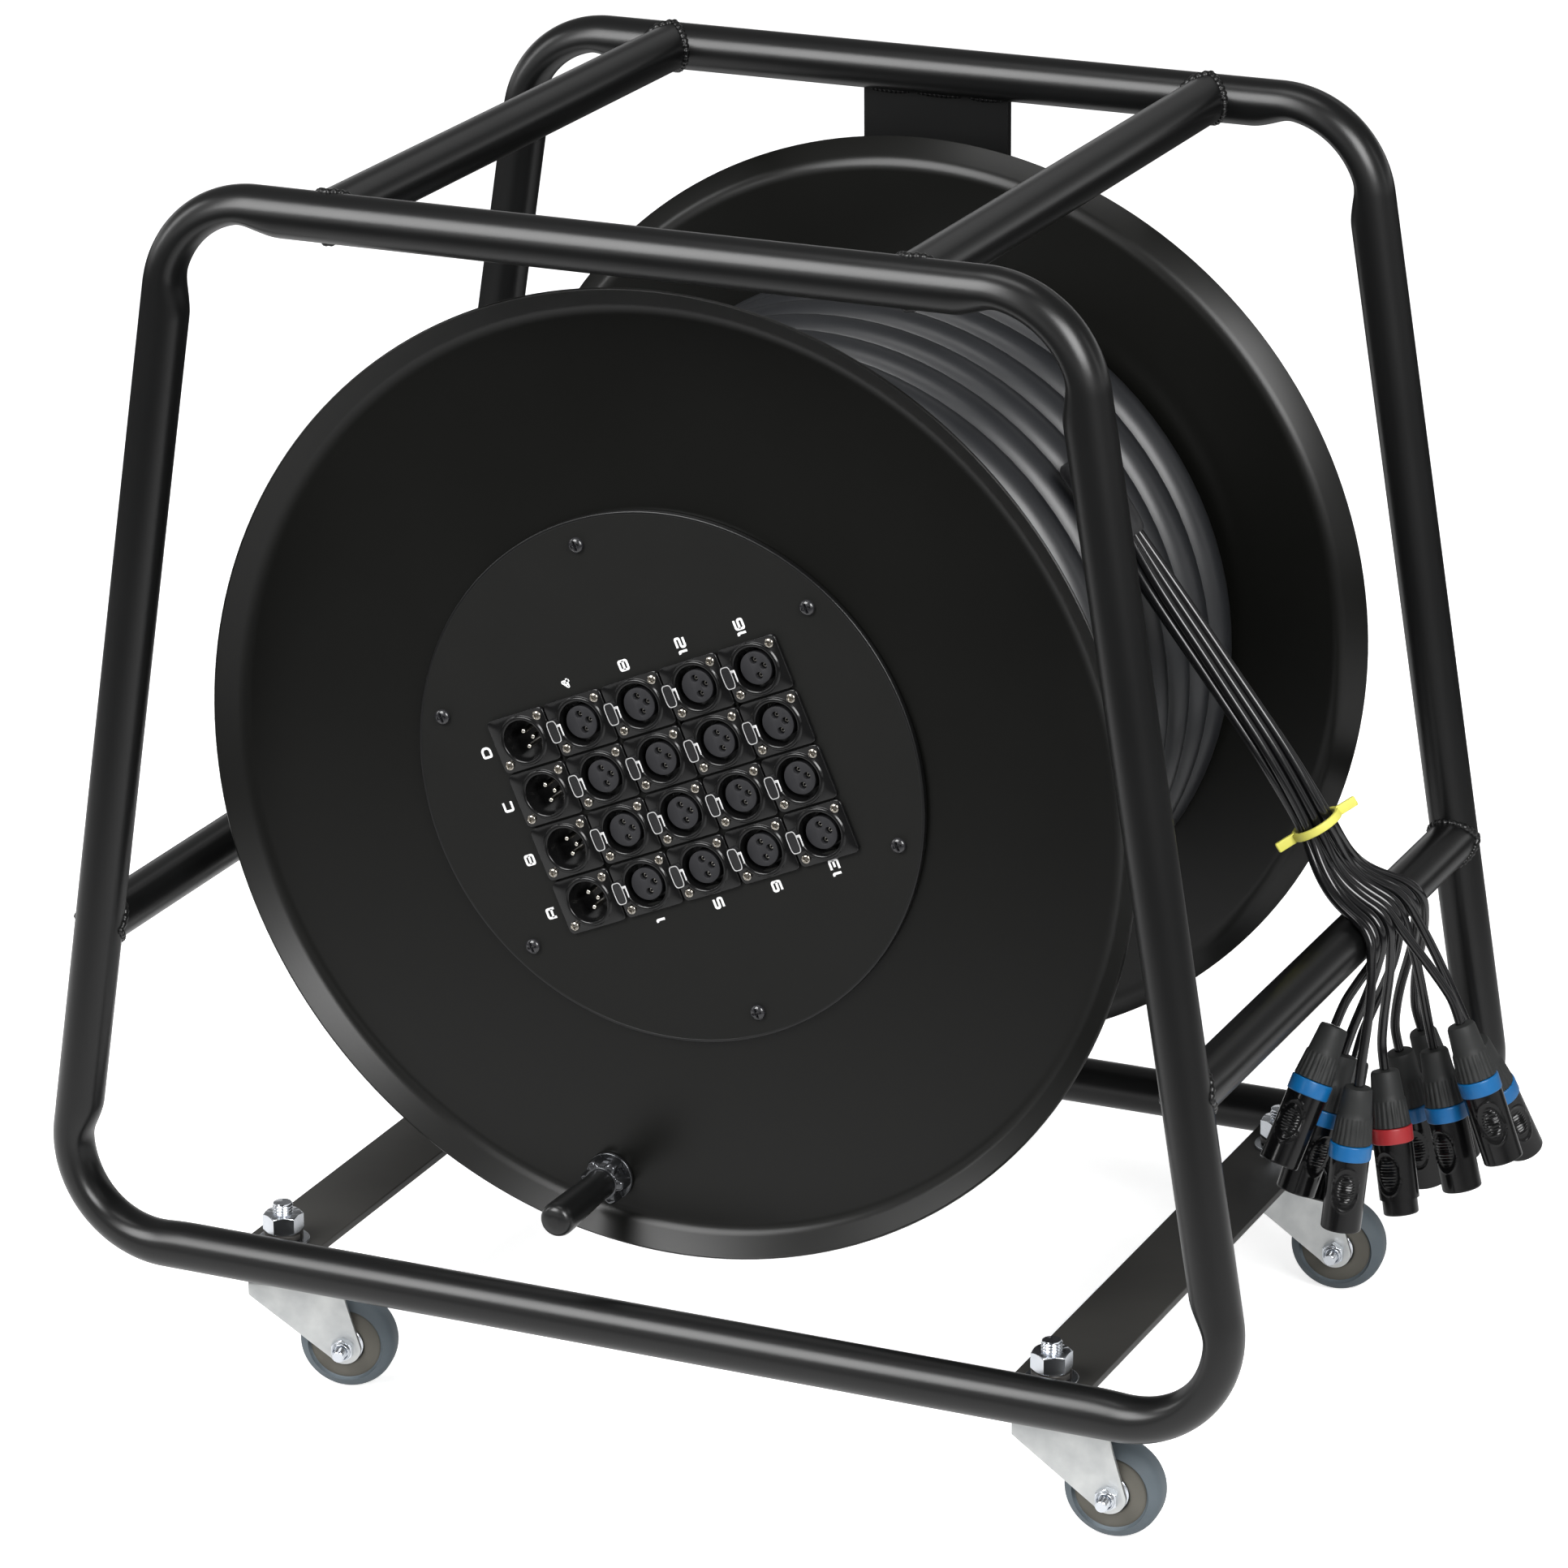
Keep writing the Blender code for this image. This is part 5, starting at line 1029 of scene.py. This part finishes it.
for index, (middle, down, (across, up)) in enumerate(zip(coding_places, downs, STRANDS)):
    boot = middle - down * (BOOT_LENGTH + 0.3)
    lane = LANE_START + index * LANE_PITCH
    knots = [mouth, *bundle[2:6]]
    lifts = unit(np.cross(unit(np.gradient(np.array(knots), axis=0)), sideways))
    twist = np.linspace(0, 1, len(knots)) * TWIST
    knots = [knot + (sideways * (across * math.cos(turn) - up * math.sin(turn))
                     + lift * (across * math.sin(turn) + up * math.cos(turn))) * STRAND_PITCH
             for knot, lift, turn in zip(knots, lifts, twist)]
    for degrees, share in ((100, 0), (70, 0.08), (40, 0.18), (12, 0.3)):
        turn = math.radians(degrees)
        knots.append(np.array([lower_bar_x + reach * math.cos(turn), lane + share * (boot[1] - lane),
                               lower_bar_z + reach * math.sin(turn)]))
    line = relaxed(smooth_line(knots + [boot - down * 16, boot], 2.5), 10)
    past = np.abs(line - bundle[TIE_AT]).sum(axis=1).argmin() + 3
    for _ in range(8):
        hung = relaxed(line[past:-5], 10)
        off = hung[:, [0, 2]] - bar_middle
        hung[:, [0, 2]] = bar_middle + off * np.maximum(1, reach / np.linalg.norm(off, axis=1, keepdims=True))
        line[past:-5] = hung
    strands.append(relaxed(line, 4))

# Tie. A soft yellow plastic strap pulled round the bundle, with its two ends standing out.
tie_yellow = finish("yellow_tie", (0.74, 0.70, 0.10), (0.86, 0.82, 0.20), (0.36, 0.48), patches=90.0,
                    specular=0.4)
TIE_EARS = (0.69, 0.51, 0.51)
TIE_INNER, TIE_T, TIE_W, TIE_EAR = 10.4, 2.2, 4.0, 9.0
tie_along = unit(bundle[TIE_AT + 1] - bundle[TIE_AT - 1])
tie_side = unit(np.cross(tie_along, TIE_EARS))
tie_frame = np.eye(4)
tie_frame[:3, :3] = np.stack([tie_side, -np.cross(tie_along, tie_side), tie_along], -1)
tie_frame[:3, 3] = bundle[TIE_AT]
tie_outer = TIE_INNER + TIE_T
band = collar(TIE_INNER, tie_outer, TIE_W / 2, -TIE_W / 2, 0.7, loop=True)
piece("bundle_tie_band", [turned(band, 64)], tie_yellow, nodes=["bundle_tie"], at=tie_frame, joined=True)
ears = [slab((-1.1, low, -2.4), (1.1, high, 2.4), 0.5)
        for low, high in ((TIE_INNER + 0.8, tie_outer + TIE_EAR), (-tie_outer - TIE_EAR, -TIE_INNER - 0.8))]
piece("bundle_tie_ends", ears, tie_yellow, at=tie_frame)

# Line connectors. One on each cord: a matt grey tapered rubber boot, a fluted collar, a coloured
# coding ring that stands a little proud, and a glossy black shell with a ribbed thumb recess.
connector_black = finish("connector_black", (0.0024, 0.0024, 0.0026), (0.0040, 0.0040, 0.0042), (0.14, 0.22),
                         patches=80.0, specular=0.32)
boot_grey = finish("boot_rubber", (0.020, 0.021, 0.0208), (0.030, 0.031, 0.0305), (0.50, 0.62), patches=70.0,
                   specular=0.3)
ring_blue = finish("ring_blue", (0.002, 0.105, 0.315), (0.006, 0.145, 0.375), (0.30, 0.42), patches=90.0)
ring_red = finish("ring_red", (0.325, 0.018, 0.022), (0.410, 0.032, 0.036), (0.30, 0.42), patches=90.0)
RED_RINGS, FLUTES, FLUTE_DEPTH = (3, 5), 22, 0.55
RING_HALF, RING_R, SHELL_R, SHELL_END, LATHE = 3.8, 10.0, 9.5, -38.5, 96
z = np.array([BOOT_LENGTH, 30.6, 29.5, 26, 20, 17.5, 17, 16.4, 12, 8, 4.2, RING_HALF])[:, None]
r = np.array([3.2, 6.2, 6.8, 7.1, 7.6, 7.8, 8.1, 8.4, 8.8, 9.2, 9.5, 8.6])[:, None]
a = around(132)
cut = np.clip((17 - z) / 1.4, 0, 1) * np.clip((z - RING_HALF) / 1.2, 0, 1) * FLUTE_DEPTH
boot = rings(r - cut * np.clip(1.5 * np.cos(FLUTES * a), 0, 1), a, z)
coding = turned(collar(8.2, RING_R, RING_HALF, -RING_HALF, 0.8, loop=True))
z = np.concatenate([np.linspace(-3.6, SHELL_END + 0.6, 110), [SHELL_END + 0.15, SHELL_END]])[:, None]
a = around(LATHE)
ribs = 0.24 * np.sin(z / 1.5 * math.tau)
for index, (middle, down, line) in enumerate(zip(coding_places, downs, strands)):
    female = index in RED_RINGS
    cord = piece("tail_%02d" % (index + 1), [tube(line, TAIL_D / 2, 16)], tail_jacket, sharp=60)
    word = "line_connector_%02d" % (index + 1)
    aim = Vector((0, 0, 1)).rotation_difference(Vector(-down)).to_matrix().to_4x4()
    at = Matrix.Translation(middle) @ aim
    r = np.where(female & (z < -31), SHELL_R - 1.1, SHELL_R)
    r[-2:, 0] -= (0.25, 0.7)
    front = (a + 4.4 + 0.6 * math.sin(2.4 * index)) % math.tau - math.pi
    inside = 1 - (front * SHELL_R / 6.6) ** 2 - ((z + 17.5) / 10.5) ** 2
    reach = (r - 0.6 * np.clip(inside * 3, 0, 1) + 0.22 * np.exp(-(inside / 0.10) ** 2)
             + ribs * np.clip(inside * 4 - 1.9, 0, 1))
    bottom = SHELL_END + (3 if female else 9)
    hollow = turned([(SHELL_R - 2.2, SHELL_END), (SHELL_R - 2.4, bottom)], LATHE)
    # A female connector's contacts are short near-black discs: painted shade of its contact holes. A male
    # connector's contacts are plated pins.
    contact = turned([(1.2, bottom + 0.5), (1.2, bottom - (0.1 if female else 7.0)),
                      (0.4, bottom - (0.15 if female else 7.4))], 20)
    shell = np.concatenate([rings(reach, a, z), hollow])
    pieces = [piece(word + "_boot", [boot], boot_grey, at=at),
              piece(word + "_ring", [coding], ring_red if female else ring_blue, at=at, joined=True),
              piece(word + "_shell", [shell], connector_black, nodes=[word], at=at),
              piece(word + "_contacts", copies(contact, CONTACTS), painted_hole_shade if female else plated, at=at)]
    length = np.linalg.norm(np.diff(line, axis=0), axis=1).sum()
    line[0] * MM
    line * MM
